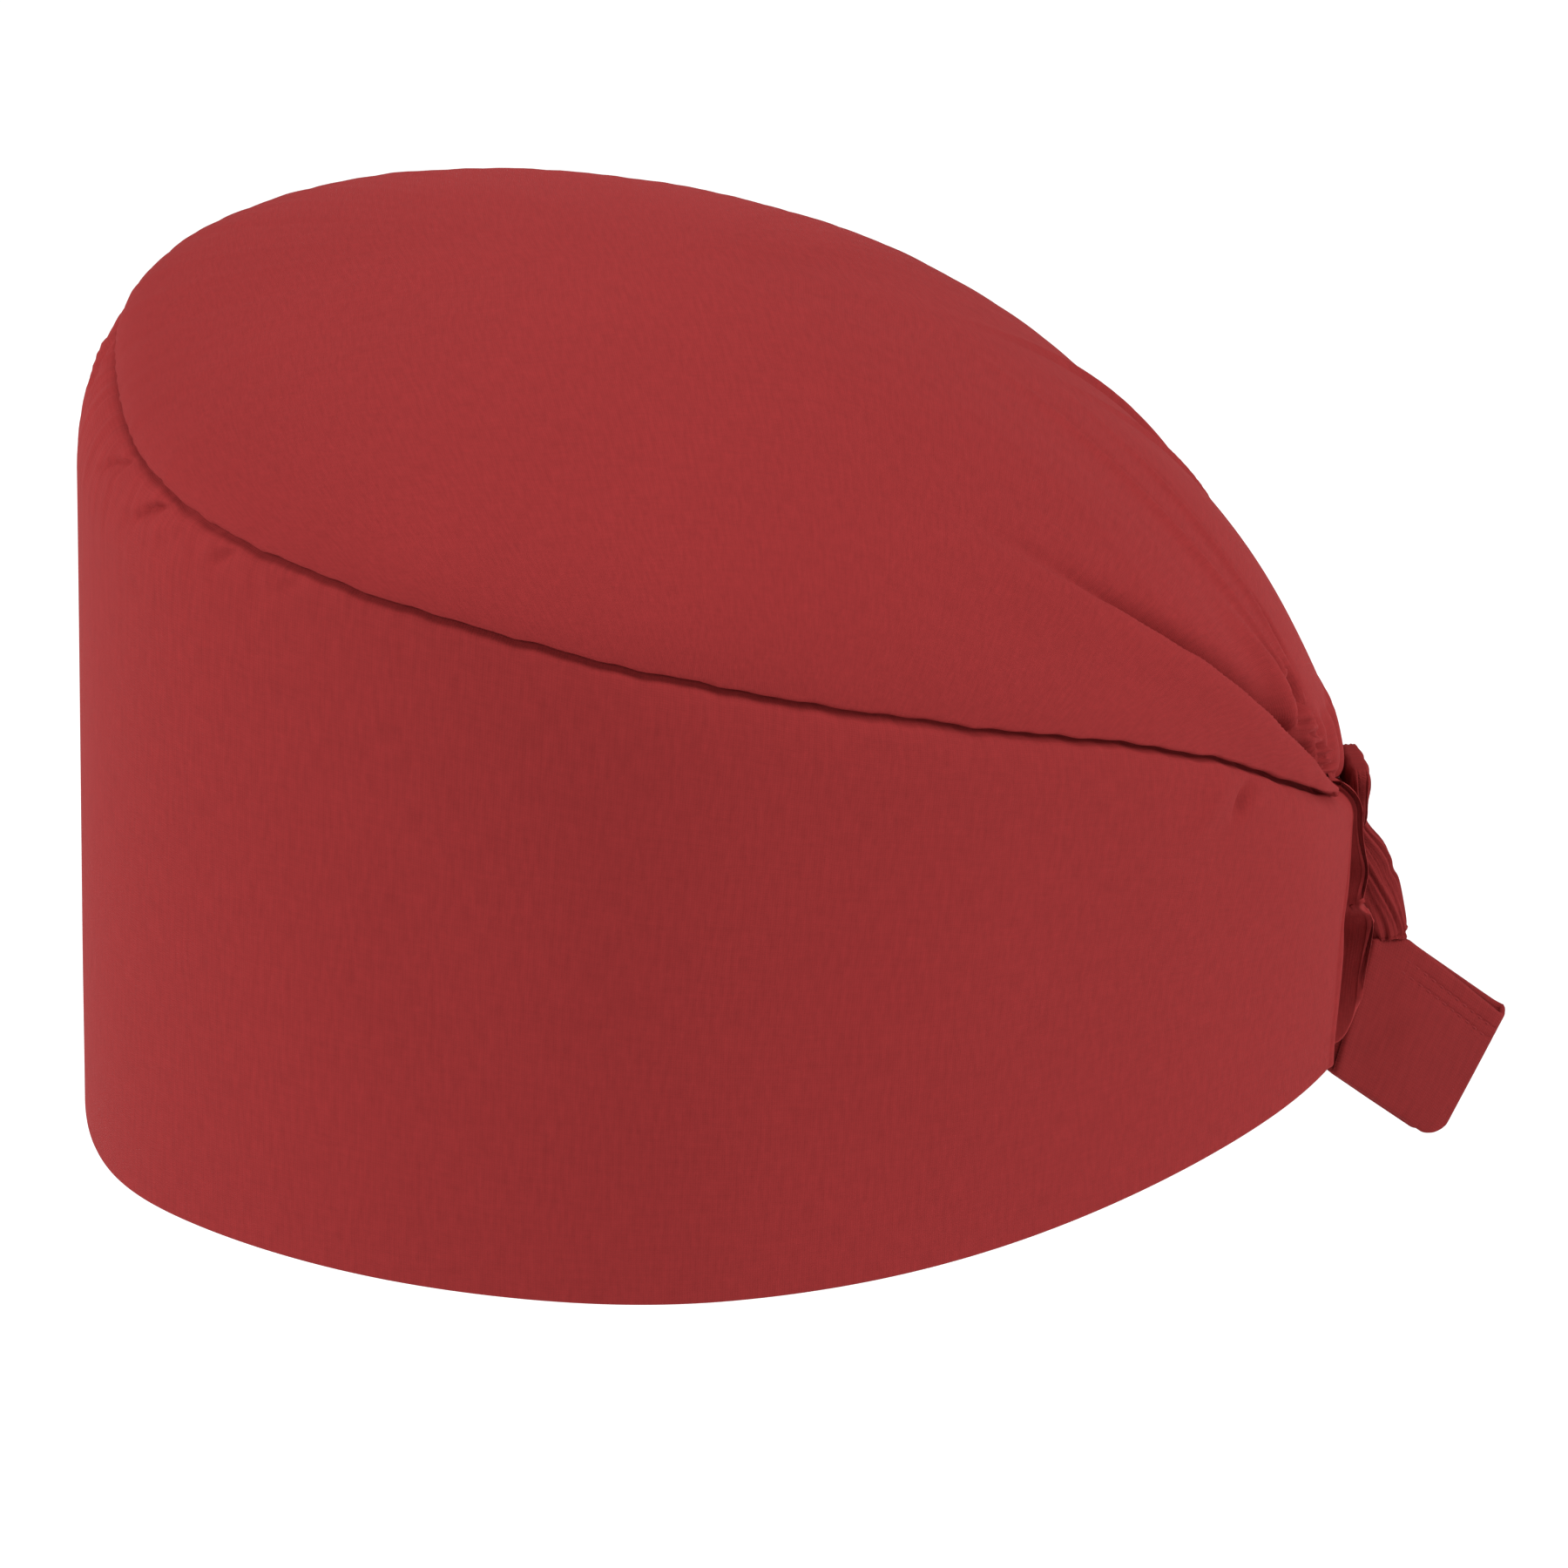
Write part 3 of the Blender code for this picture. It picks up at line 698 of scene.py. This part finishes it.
def add_seam_allowance(points, weave):
    """The grid with the rows of cloth turned in at its top edge added."""
    top = points[:, -1]
    level = top * np.array((1.0, 1.0, 0.0))
    level = level / np.linalg.norm(level, axis=-1, keepdims=True)
    rows = [points]
    threads = [weave]
    for turn in SEAM_ALLOWANCE:
        rows.append((top - level * turn.inward + np.array((0, 0, turn.up)))[:, None])
        threads.append(weave[:, -1:] + np.array((0, turn.inward + turn.up)))
    return np.concatenate(rows, axis=1), np.concatenate(threads, axis=1)


def make_band():
    """The band, with the pleat of the nape behind each of its folded ends."""
    full = end_angle(0.0)
    turns = spread(-full, full, 0.6, 0.45, 140) / full
    rim_rows = np.array(BAND_RIM_ROWS) / BAND_HEIGHT
    seam_rows = 1 - np.array(BAND_SEAM_ROWS) / BAND_HEIGHT
    shares = np.linspace(1, 0, BAND_ROWS)[:-1] ** BAND_ROW_CROWDING
    heights = np.concatenate((rim_rows, 1 - SEAM_DIP_REACH / BAND_HEIGHT - 0.95 * shares, seam_rows))
    distances = (1 - heights) * BAND_HEIGHT
    height = np.repeat(heights[None, :], len(turns), axis=0)
    distance = np.repeat(distances[None, :], len(turns), axis=0)
    points = band_surface(turns[:, None] * end_angle(height), height, distance)
    round_cap = np.radians(turns[:, None] * full) * BAND_MEAN_REACH
    weave = np.stack((round_cap + 0 * height, BAND_HEIGHT * height), axis=-1)
    back, across, rise = (value[:, None] for value in pleat_path(NAPE_PLEAT_STEPS))
    raised = rise + (1 - rise) * heights[None, :]
    depth = NAPE_PLEAT_DEPTH * end_opening(raised)
    run = np.linspace(0, NAPE_PLEAT_CLOTH, len(back) + 1)[1:, None] + 0 * raised
    sides = []
    for side in (-1, 1):
        edge = band_surface(side * end_angle(raised), raised, (1 - raised) * BAND_HEIGHT)
        strip = edge + np.stack((back * depth, side * across * depth, 0 * depth), axis=-1)
        start = weave[0 if side < 0 else -1][None]
        threads = start + np.stack((side * run, (raised - heights) * BAND_HEIGHT), axis=-1)
        sides.append((strip, threads))
    (left, left_weave), (right, right_weave) = sides
    points = np.concatenate((left[::-1], points, right))
    weave = np.concatenate((left_weave[::-1], weave, right_weave))
    points, weave = add_seam_allowance(points, weave)
    return cloth_wall("band_cloth", points, weave, CLOTH, inner_step=3)


def casing_top():
    """The height of the casing's upper edge."""
    return BAND_HEIGHT * float(seam_height(180.0)) - SEAM_GAP / 2


def casing_half_width(z):
    """Half the width that the band's two ends leave open at a height."""
    side = end_angle(1.0)
    low = BAND_HEIGHT * rim_rise(side)
    high = BAND_HEIGHT * seam_height(side)
    height = np.minimum(1.0, (z - low) / (high - low))
    edge = at(end_angle(height), oval(end_angle(height)) * seam_reach(end_angle(height)), 0)[..., 1]
    depth = NAPE_PLEAT_DEPTH * end_opening(height) * NAPE_PLEAT[-1].across
    return -edge - depth - CASING_CLEARANCE


def make_casing():
    """The ruched strip between the band's ends."""
    columns, rows = 120, 26
    turn = np.linspace(-1, 1, columns)[:, None]
    down = np.linspace(1, 0.03, rows)[None, :]
    across = turn * casing_half_width(casing_top() - CASING_HEIGHT * down)
    angle = 180 + np.degrees(np.arcsin(across / RIM_BACK))
    ruffle = np.cos(np.pi * CASING_RUFFLES * turn + 0.7 * np.sin(5 * turn) + 0.5 * down)
    groove = sum(bell(down - line, CASING_GROOVE_WIDTH) for line in (0.86, 0.14))
    roll = SEAM_DIP * (2 * down - 1) ** 4
    top = BAND_HEIGHT * seam_height(folded(angle)) - SEAM_GAP / 2
    reach = oval(angle) * seam_reach(folded(angle))
    reach = reach + CASING_RUFFLE * ruffle - roll - CASING_GROOVE * groove
    points = at(angle, reach, top - CASING_HEIGHT * down)
    weave = np.stack((across * CASING_FULLNESS, CASING_HEIGHT * (1 - down) + 0 * across), axis=-1)
    points, weave = add_seam_allowance(points, weave)
    return cloth_wall("casing_cloth", points, weave, CLOTH)


def knot_centre():
    """The middle of the knot, behind the casing."""
    reach = float(oval(180.0)) * float(seam_reach(180.0)) + MODEL_RUFFLE + MODEL_GAP + KNOT_DEPTH / 2
    return np.array((reach, -KNOT_SIDE, casing_top() - CASING_HEIGHT / 2 + KNOT_RISE))


def tube_wall(count, sides):
    """The faces between the rings of a tube."""
    faces = []
    for i in range(count - 1):
        for k in range(sides):
            after = (k + 1) % sides
            faces.append((i * sides + k, i * sides + after, (i + 1) * sides + after, (i + 1) * sides + k))
    return faces


def closed_tube(name, rings, weave):
    """A closed solid from rings of points, each ring the same length, its two ends capped."""
    count, sides = rings.shape[:2]
    faces = tube_wall(count, sides)
    first, last = count * sides, count * sides + 1
    for k in range(sides):
        after = (k + 1) % sides
        faces.append((after, k, first))
        faces.append(((count - 1) * sides + k, (count - 1) * sides + after, last))
    vertices = np.concatenate((rings.reshape(-1, 3), [rings[0].mean(axis=0), rings[-1].mean(axis=0)]))
    threads = np.concatenate((weave.reshape(-1, 2), [weave[0, 0], weave[-1, 0]]))
    return mesh_object(name, vertices, faces, threads)


def make_knot():
    """The knot: cloth wrapped flat over the casing, with upright creases at its sides."""
    rings, sides = 60, 120
    rise = np.linspace(-0.985, 0.985, rings)[:, None] * (math.pi / 2)
    turn = np.linspace(0, 2 * math.pi, sides, endpoint=False)[None, :]

    def soft(value):
        return np.sign(value) * np.abs(value) ** KNOT_SQUARENESS

    wide = soft(np.cos(rise))
    x = wide * soft(np.cos(turn))
    y = wide * soft(np.sin(turn))
    z = soft(np.sin(rise)) + 0 * turn
    taper = 1.0 + KNOT_TAPER * z
    upright = np.abs(np.cos(KNOT_CREASES * (x + 0.12 * np.sin(2.2 * z)) + 0.7)) ** 0.6 - 0.6
    crease = KNOT_CREASE * upright * np.abs(y) ** 2
    wrap = KNOT_WRAP * np.cos(11 * (y + 0.3 * z) + 1.2 * np.sin(3 * z))
    thick = KNOT_DEPTH / 2 * (1 - 0.16 * y * y) * (1 + 0.16 * z)
    wide_y = KNOT_WIDTH / 2 * y * taper + np.sign(y) * crease
    half = np.stack(((thick + wrap * np.abs(x)) * x, wide_y, KNOT_HEIGHT / 2 * z), axis=-1)
    points = knot_centre() + half
    weave = np.stack((KNOT_WIDTH * y, KNOT_HEIGHT * z), axis=-1) * 0.7
    return closed_tube("knot_cloth", points, weave)


def tie_frame():
    """The flat end's upper corner at the neck, and the ways along it, across it and out of it."""
    turn = math.radians(TIE_TURN)
    out = direction(TIE_TURN, TIE_LEAN)
    level = np.array((math.cos(turn), math.sin(turn), 0))
    down = unit(np.cross(out, level))
    down = -down if down[2] > 0 else down
    slope = math.radians(TIE_SLOPE)
    along = level * math.cos(slope) + down * math.sin(slope)
    width = down * math.cos(slope) - level * math.sin(slope)
    corner = knot_centre() + np.array((TIE_BEHIND_KNOT, KNOT_SIDE, -TIE_BELOW_KNOT - KNOT_HEIGHT / 4))
    return corner, along, width, out


def make_neck():
    """The bunched stretch of the tie, pleated lengthwise from the knot to the flat end's shoulder."""
    corner, along, width, out = tie_frame()
    shoulder = unit(along * TIE_SHOULDER - width * TIE_SHOULDER_DROP)
    downward = unit(width * TIE_SHOULDER + along * TIE_SHOULDER_DROP)
    start = knot_centre() + np.array((0, 0, -KNOT_HEIGHT / 2 - MODEL_GAP))
    end = corner + (width * TIE_SHOULDER_DROP - along * TIE_SHOULDER) / 2 - downward * MODEL_GAP
    bend = end - downward * NECK_BEND
    rings, sides = 90, 144
    turn = np.linspace(0, 2 * math.pi, sides, endpoint=False)
    grid = np.empty((rings, sides, 3))
    weave = np.empty((rings, sides, 2))
    down = np.array((0, 0, -1.0))
    for i in range(rings):
        t = i / (rings - 1)
        middle = start * (1 - t) ** 2 + bend * 2 * t * (1 - t) + end * t * t
        heading = unit((bend - start) * (1 - t) + (end - bend) * t)
        heading = unit(heading + (down - heading) * (1 - t) ** 4)
        broad = np.array((1.0, 0, 0)) * (1 - t) + shoulder * t
        broad = unit(broad - heading * broad.dot(heading))
        thin = np.cross(heading, broad)
        half = NECK_WIDTH / 2 * float(neck_width(t))
        drift = turn + 0.5 * math.sin(2.5 * t) + 0.10 * np.sin(3 * turn + 4 * t)
        pleats = NECK_CREASE * (np.abs(np.cos(NECK_CREASES / 2 * drift)) ** 0.55 - 0.62)
        pleats = pleats + NECK_RIDGE * np.cos(17 * drift + 3 * t)
        tangle = float(ease((t - NECK_TANGLE_FROM) / 0.1))
        pleats = pleats + NECK_TANGLE * tangle * np.cos(3 * turn + 55 * t)
        pinch = 1 - NECK_PINCH * math.exp(-((t - NECK_PINCH_AT) / NECK_PINCH_WIDTH) ** 2)
        across = (half * pinch + pleats) * np.cos(turn)
        through = (NECK_THICKNESS / 2 + pleats) * np.sin(turn)
        grid[i] = middle + broad * across[:, None] + thin * through[:, None]
        weave[i] = np.stack((half * turn, 0 * turn + 0.03 * t), axis=-1)
    return closed_tube("neck_cloth", grid, weave)


def tie_half_gap(t):
    """Half the way between the tie's layers at a share of its straight part: pinched at the neck."""
    return TIE_PINCH + (TIE_HALF_GAP - TIE_PINCH) * ease(2 * t)


def tie_bow(way_out, share):
    """How far each layer bows out between the tie's edges."""
    return TIE_BOW * np.sin(math.pi * share) * np.sin(math.pi * np.clip(way_out, 0, 1))


def tie_skew(way_out):
    """How far the front layer's upper edge lies below the back layer's."""
    return TIE_SKEW * np.clip(way_out, 0, 1) ** 1.1


def tie_path(steps):
    """The tie's path seen from its edge: shares of the way out, and the height off its middle."""
    t = 1 - (1 - np.linspace(0, 1, steps)) ** 1.6
    out = t * TIE_STRAIGHT
    gap = tie_half_gap(t)
    turn = np.linspace(0, math.pi, 18)[1:-1]
    fold = TIE_STRAIGHT + (1 - TIE_STRAIGHT) * np.sin(turn)
    way = np.concatenate((out, fold, out[::-1]))
    return way, np.concatenate((gap, TIE_HALF_GAP * np.cos(turn), -gap[::-1]))


def tie_point(way_out, gap, share, extra=0.0):
    """Points of the flat end by way out, height off its middle and share of its width, lifted by extra."""
    corner, along, width, out = tie_frame()
    start = -TIE_SHOULDER * (1 - share)
    reach = start + (TIE_REACH - start) * way_out
    into_corner = np.maximum(0.0, reach - (TIE_REACH - TIE_CORNER)) / TIE_CORNER
    cut = TIE_CORNER * (1 - np.sqrt(np.maximum(0.0, 1 - np.minimum(into_corner, 1) ** 2)))
    top = TIE_SHOULDER_DROP * np.maximum(0.0, -reach) / TIE_SHOULDER
    top = top + np.clip(gap / TIE_HALF_GAP, 0, 1) * tie_skew(way_out)
    down = top + (TIE_WIDTH - cut - top) * share
    off = gap * (1 + (extra + tie_bow(way_out, share)) / TIE_HALF_GAP)
    return corner + along * reach[..., None] + out * off[..., None] + width * down[..., None], down


def make_tie_end():
    """The flat end: one strip folded back on itself, with a groove along each line of stitching."""
    out, gap = tie_path(52)
    parts = (-1, -0.5, 0, 0.5, 1)
    grooves = [line + STITCH_GROOVE_WIDTH * part for line in TIE_STITCH_LINES for part in parts]
    top_rows = np.array(list(TIE_EDGE_ROWS) + grooves) / TIE_WIDTH
    shares = np.unique(np.concatenate((top_rows, np.linspace(0.24, 0.985, 30))))
    way = np.repeat(out[:, None], len(shares), axis=1)
    off = np.repeat(gap[:, None], len(shares), axis=1)
    share = np.repeat(shares[None, :], len(out), axis=0)
    down = share * TIE_WIDTH
    groove = sum(bell(down - line, STITCH_GROOVE_WIDTH) for line in TIE_STITCH_LINES)
    layer = np.abs(off) / TIE_HALF_GAP
    extra = -STITCH_GROOVE * groove * ease(3 * layer - 2)
    points, down = tie_point(way, off, share, extra)
    weave = np.stack((way * TIE_REACH * np.sign(off + 1e-9), down), axis=-1)
    return cloth_wall("tie_cloth", points, weave, CLOTH, outside=0.5)


def stitch(start, end, out):
    """Vertices and faces of one raised stitch: a short thread bent over the cloth between two holes."""
    rings, sides = 9, 8
    run = end - start
    length = np.linalg.norm(run)
    heading = run / length
    side = np.cross(out, heading)
    vertices = []
    for i in range(rings):
        t = i / (rings - 1)
        lift = out * (1.6 * math.sin(math.pi * t) - 0.7) * STITCH_RADIUS
        size = STITCH_RADIUS * (0.35 + 0.65 * math.sin(math.pi * t) ** 0.4)
        middle = start + run * t + lift
        for k in range(sides):
            turn = 2 * math.pi * k / sides
            vertices.append(middle + (side * math.cos(turn) + out * math.sin(turn)) * size)
    faces = tube_wall(rings, sides)
    faces.append(tuple(reversed(range(sides))))
    faces.append(tuple((rings - 1) * sides + k for k in range(sides)))
    return vertices, faces


def stitch_hole(face, line, reach):
    """Where a stitch enters the tie: face is 1 for the front layer and -1 for the back one."""
    corner, along, width, out = tie_frame()
    share = line / TIE_WIDTH
    start = -TIE_SHOULDER * (1 - share)
    way = (reach - start) / (TIE_REACH - start)
    off = tie_half_gap(way / TIE_STRAIGHT) + tie_bow(way, share) + CLOTH / 2 - STITCH_GROOVE
    down = line + tie_skew(way) * max(face, 0) * (1 - share)
    return corner + along * reach + width * down + out * face * off


def make_tie_stitches():
    """Both lines of stitches on both layers of the flat end, as one mesh."""
    out = tie_frame()[-1]
    starts = np.arange(STITCH_START, TIE_REACH - STITCH_MARGIN - STITCH_LENGTH, STITCH_PITCH)
    vertices, faces = [], []
    for face in (1, -1):
        for line in TIE_STITCH_LINES:
            for reach in starts:
                near = stitch_hole(face, line, reach)
                far = stitch_hole(face, line, reach + STITCH_LENGTH)
                more, shapes = stitch(near, far, out * face)
                faces += [tuple(len(vertices) + k for k in shape) for shape in shapes]
                vertices += more
    return mesh_object("tie_stitches", np.array(vertices), faces, np.zeros((len(vertices), 2)))


class Nodes:
    """A material's nodes, added and linked one after another."""

    def __init__(self, material):
        self.tree = material.node_tree

    def add(self, kind, **settings):
        node = self.tree.nodes.new(kind)
        for name, value in settings.items():
            setattr(node, name, value)
        return node

    def link(self, source, target):
        self.tree.links.new(source, target)

    def math(self, operation, first, second=None):
        node = self.add("ShaderNodeMath", operation=operation)
        for i, value in enumerate((first, second)):
            if value is None:
                continue
            if isinstance(value, (int, float)):
                node.inputs[i].default_value = value
            else:
                self.link(value, node.inputs[i])
        return node.outputs[0]

    def scaled(self, value, middle, scale):
        """How far the value is from the middle, times the scale."""
        return self.math("MULTIPLY", self.math("SUBTRACT", value, middle), scale)

    def noise(self, coordinates, scale, detail=3.0, roughness=0.55, stretch=None):
        node = self.add("ShaderNodeTexNoise")
        node.inputs["Scale"].default_value = scale
        node.inputs["Detail"].default_value = detail
        node.inputs["Roughness"].default_value = roughness
        if stretch is not None:
            squeeze = self.add("ShaderNodeMapping")
            squeeze.inputs["Scale"].default_value = stretch
            self.link(coordinates, squeeze.inputs["Vector"])
            coordinates = squeeze.outputs["Vector"]
        self.link(coordinates, node.inputs["Vector"])
        return node.outputs["Fac"]


def woven_material(name, color, mottle=0.10, thread_bump=0.35):
    """Matt plain-woven cloth: over-and-under threads, uneven yarns, soft mottling, painted shade in the gaps
    between threads and a faint sheen.
    """
    material = bpy.data.materials.new(name)
    material.use_nodes = True
    shader = material.node_tree.nodes["Principled BSDF"]
    shader.inputs["Metallic"].default_value = 0.0
    shader.inputs["Specular IOR Level"].default_value = 0.06
    shader.inputs["Sheen Weight"].default_value = 0.12
    shader.inputs["Sheen Roughness"].default_value = 0.45
    shader.inputs["Sheen Tint"].default_value = (0.9, 0.10, 0.10, 1.0)
    nodes = Nodes(material)
    threads = nodes.add("ShaderNodeUVMap", uv_map="weave").outputs["UV"]
    place = nodes.add("ShaderNodeTexCoord").outputs["Object"]

    split = nodes.add("ShaderNodeSeparateXYZ")
    nodes.link(threads, split.inputs["Vector"])
    wobble = nodes.noise(place, 900.0, detail=1.0)
    shift = nodes.scaled(wobble, 0.5, 1.6)
    waves = []
    for axis in ("X", "Y"):
        turn = nodes.math("MULTIPLY", split.outputs[axis], math.pi / THREAD_PITCH)
        waves.append(nodes.math("SINE", nodes.math("ADD", turn, shift)))
    over = nodes.math("MULTIPLY", waves[0], waves[1])
    warp_over = nodes.math("ADD", nodes.math("MULTIPLY", over, 0.4), 0.6)
    weft_over = nodes.math("ADD", nodes.math("MULTIPLY", over, -0.4), 0.6)
    warp = nodes.math("MULTIPLY", nodes.math("ABSOLUTE", waves[0]), warp_over)
    weft = nodes.math("MULTIPLY", nodes.math("ABSOLUTE", waves[1]), weft_over)
    cloth = nodes.math("MAXIMUM", warp, weft)

    upright = nodes.noise(threads, 1.0, detail=2.0, stretch=(1150.0, 190.0, 1.0))
    level = nodes.noise(threads, 1.0, detail=2.0, stretch=(170.0, 1000.0, 1.0))
    grain = nodes.noise(place, 1500.0, detail=2.0, roughness=0.6)
    patches = nodes.noise(place, 34.0, detail=3.0)

    uneven = nodes.math("ADD", nodes.math("MULTIPLY", upright, 0.55), nodes.math("MULTIPLY", level, 0.25))
    uneven = nodes.math("ADD", uneven, nodes.math("MULTIPLY", grain, 0.2))
    shade = nodes.scaled(uneven, 0.5, 0.55)
    shade = nodes.math("ADD", shade, nodes.scaled(patches, 0.5, mottle))
    # Painted shade: the colour is darker where the threads lie low, in the gaps of the weave
    shade = nodes.math("ADD", shade, nodes.scaled(cloth, 0.62, 0.12))
    bright = nodes.math("ADD", shade, 1.0)

    tint = nodes.add("ShaderNodeCombineXYZ")
    for axis, value in zip("XYZ", color):
        nodes.link(nodes.math("MULTIPLY", bright, value), tint.inputs[axis])
    nodes.link(tint.outputs["Vector"], shader.inputs["Base Color"])

    rough = nodes.math("ADD", nodes.scaled(grain, 0.5, 0.16), 0.86)
    nodes.link(rough, shader.inputs["Roughness"])

    height = nodes.math("ADD", cloth, nodes.math("MULTIPLY", uneven, 1.1))
    bump = nodes.add("ShaderNodeBump")
    bump.inputs["Strength"].default_value = thread_bump
    bump.inputs["Distance"].default_value = 0.00012
    nodes.link(height, bump.inputs["Height"])
    nodes.link(bump.outputs["Normal"], shader.inputs["Normal"])
    return material


def plain_material(name, color, roughness):
    """A plain matt material."""
    material = bpy.data.materials.new(name)
    material.use_nodes = True
    shader = material.node_tree.nodes["Principled BSDF"]
    shader.inputs["Base Color"].default_value = (*color, 1.0)
    shader.inputs["Roughness"].default_value = roughness
    shader.inputs["Specular IOR Level"].default_value = 0.1
    return material


def set_camera():
    """The camera at the photo's angle, turned so that the cap lies where it does in the photo."""
    turn = math.radians(CAMERA_AZIMUTH)
    back = Vector(direction(CAMERA_AZIMUTH, CAMERA_ELEVATION))
    right = Vector((math.cos(turn), math.sin(turn), 0))
    up = back.cross(right)
    look = (-back + right * (SHIFT_RIGHT / FOCAL_PIXELS) - up * (SHIFT_DOWN / FOCAL_PIXELS)).normalized()
    across = look.cross(up).normalized()
    upward = across.cross(look)
    place = Matrix((across, upward, -look)).transposed().to_4x4()
    place.translation = Vector(CAMERA_AIM) + back * CAMERA_DISTANCE
    data = bpy.data.cameras.new("camera")
    data.sensor_width = SENSOR_WIDTH
    data.lens = FOCAL_PIXELS * SENSOR_WIDTH / PHOTO_PIXELS
    camera = bpy.data.objects.new("camera", data)
    camera.matrix_world = place
    bpy.context.scene.collection.objects.link(camera)
    bpy.context.scene.camera = camera


def area_light(source):
    """A round soft light at an azimuth and elevation, facing the cap."""
    back = Vector(direction(source.azimuth, source.elevation))
    data = bpy.data.lights.new(source.name, "AREA")
    data.shape = "DISK"
    data.size = source.size
    data.energy = source.power
    light = bpy.data.objects.new(source.name, data)
    light.location = Vector(LIGHT_AIM) + back * source.distance
    light.rotation_euler = back.to_track_quat("Z", "Y").to_euler()
    bpy.context.scene.collection.objects.link(light)


def set_stage():
    """White surroundings, soft lights and a plain pale floor."""
    world = bpy.data.worlds.new("studio")
    world.use_nodes = True
    sky = world.node_tree.nodes["Background"]
    sky.inputs["Color"].default_value = (1.0, 1.0, 1.0, 1.0)
    sky.inputs["Strength"].default_value = SKY_STRENGTH
    bpy.context.scene.world = world
    bpy.context.scene.view_settings.view_transform = "Standard"
    for source in LIGHTS:
        area_light(source)
    bpy.ops.mesh.primitive_plane_add(size=FLOOR_SIZE, location=(0, 0, FLOOR_LEVEL))
    floor = bpy.context.object
    floor.name = "floor"
    floor.data.materials.append(plain_material("floor", FLOOR_TONE, 0.95))


def dress(piece, node, material):
    """Give a piece its material and slot, on the only body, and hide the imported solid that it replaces."""
    piece.data.materials.append(material)
    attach(piece, "root")
    if node:
        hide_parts(node)


def make_cap():
    """All the cap's pieces, dressed."""
    cap_cloth = woven_material("cap_weave", CAP_RED)
    # The tie's material is the cap's weave with a darker red, which paints in the shade on the tie
    tie_cloth = woven_material("tie_weave_shaded", TIE_SHADED_RED, mottle=0.16, thread_bump=0.5)
    thread = plain_material("thread", THREAD_RED, 0.8)
    crown = make_crown()
    band = make_band()
    casing = make_casing()
    knot = make_knot()
    neck = make_neck()
    tie_end = make_tie_end()
    stitches = make_tie_stitches()
    dress(crown, "crown", cap_cloth)
    dress(band, "band", cap_cloth)
    dress(casing, "nape_casing", cap_cloth)
    dress(knot, "tie_knot", tie_cloth)
    dress(neck, "tie_neck", tie_cloth)
    dress(tie_end, "tie_end", tie_cloth)
    dress(stitches, None, thread)


def main():
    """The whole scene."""
    set_camera()
    set_stage()
    make_cap()


main()
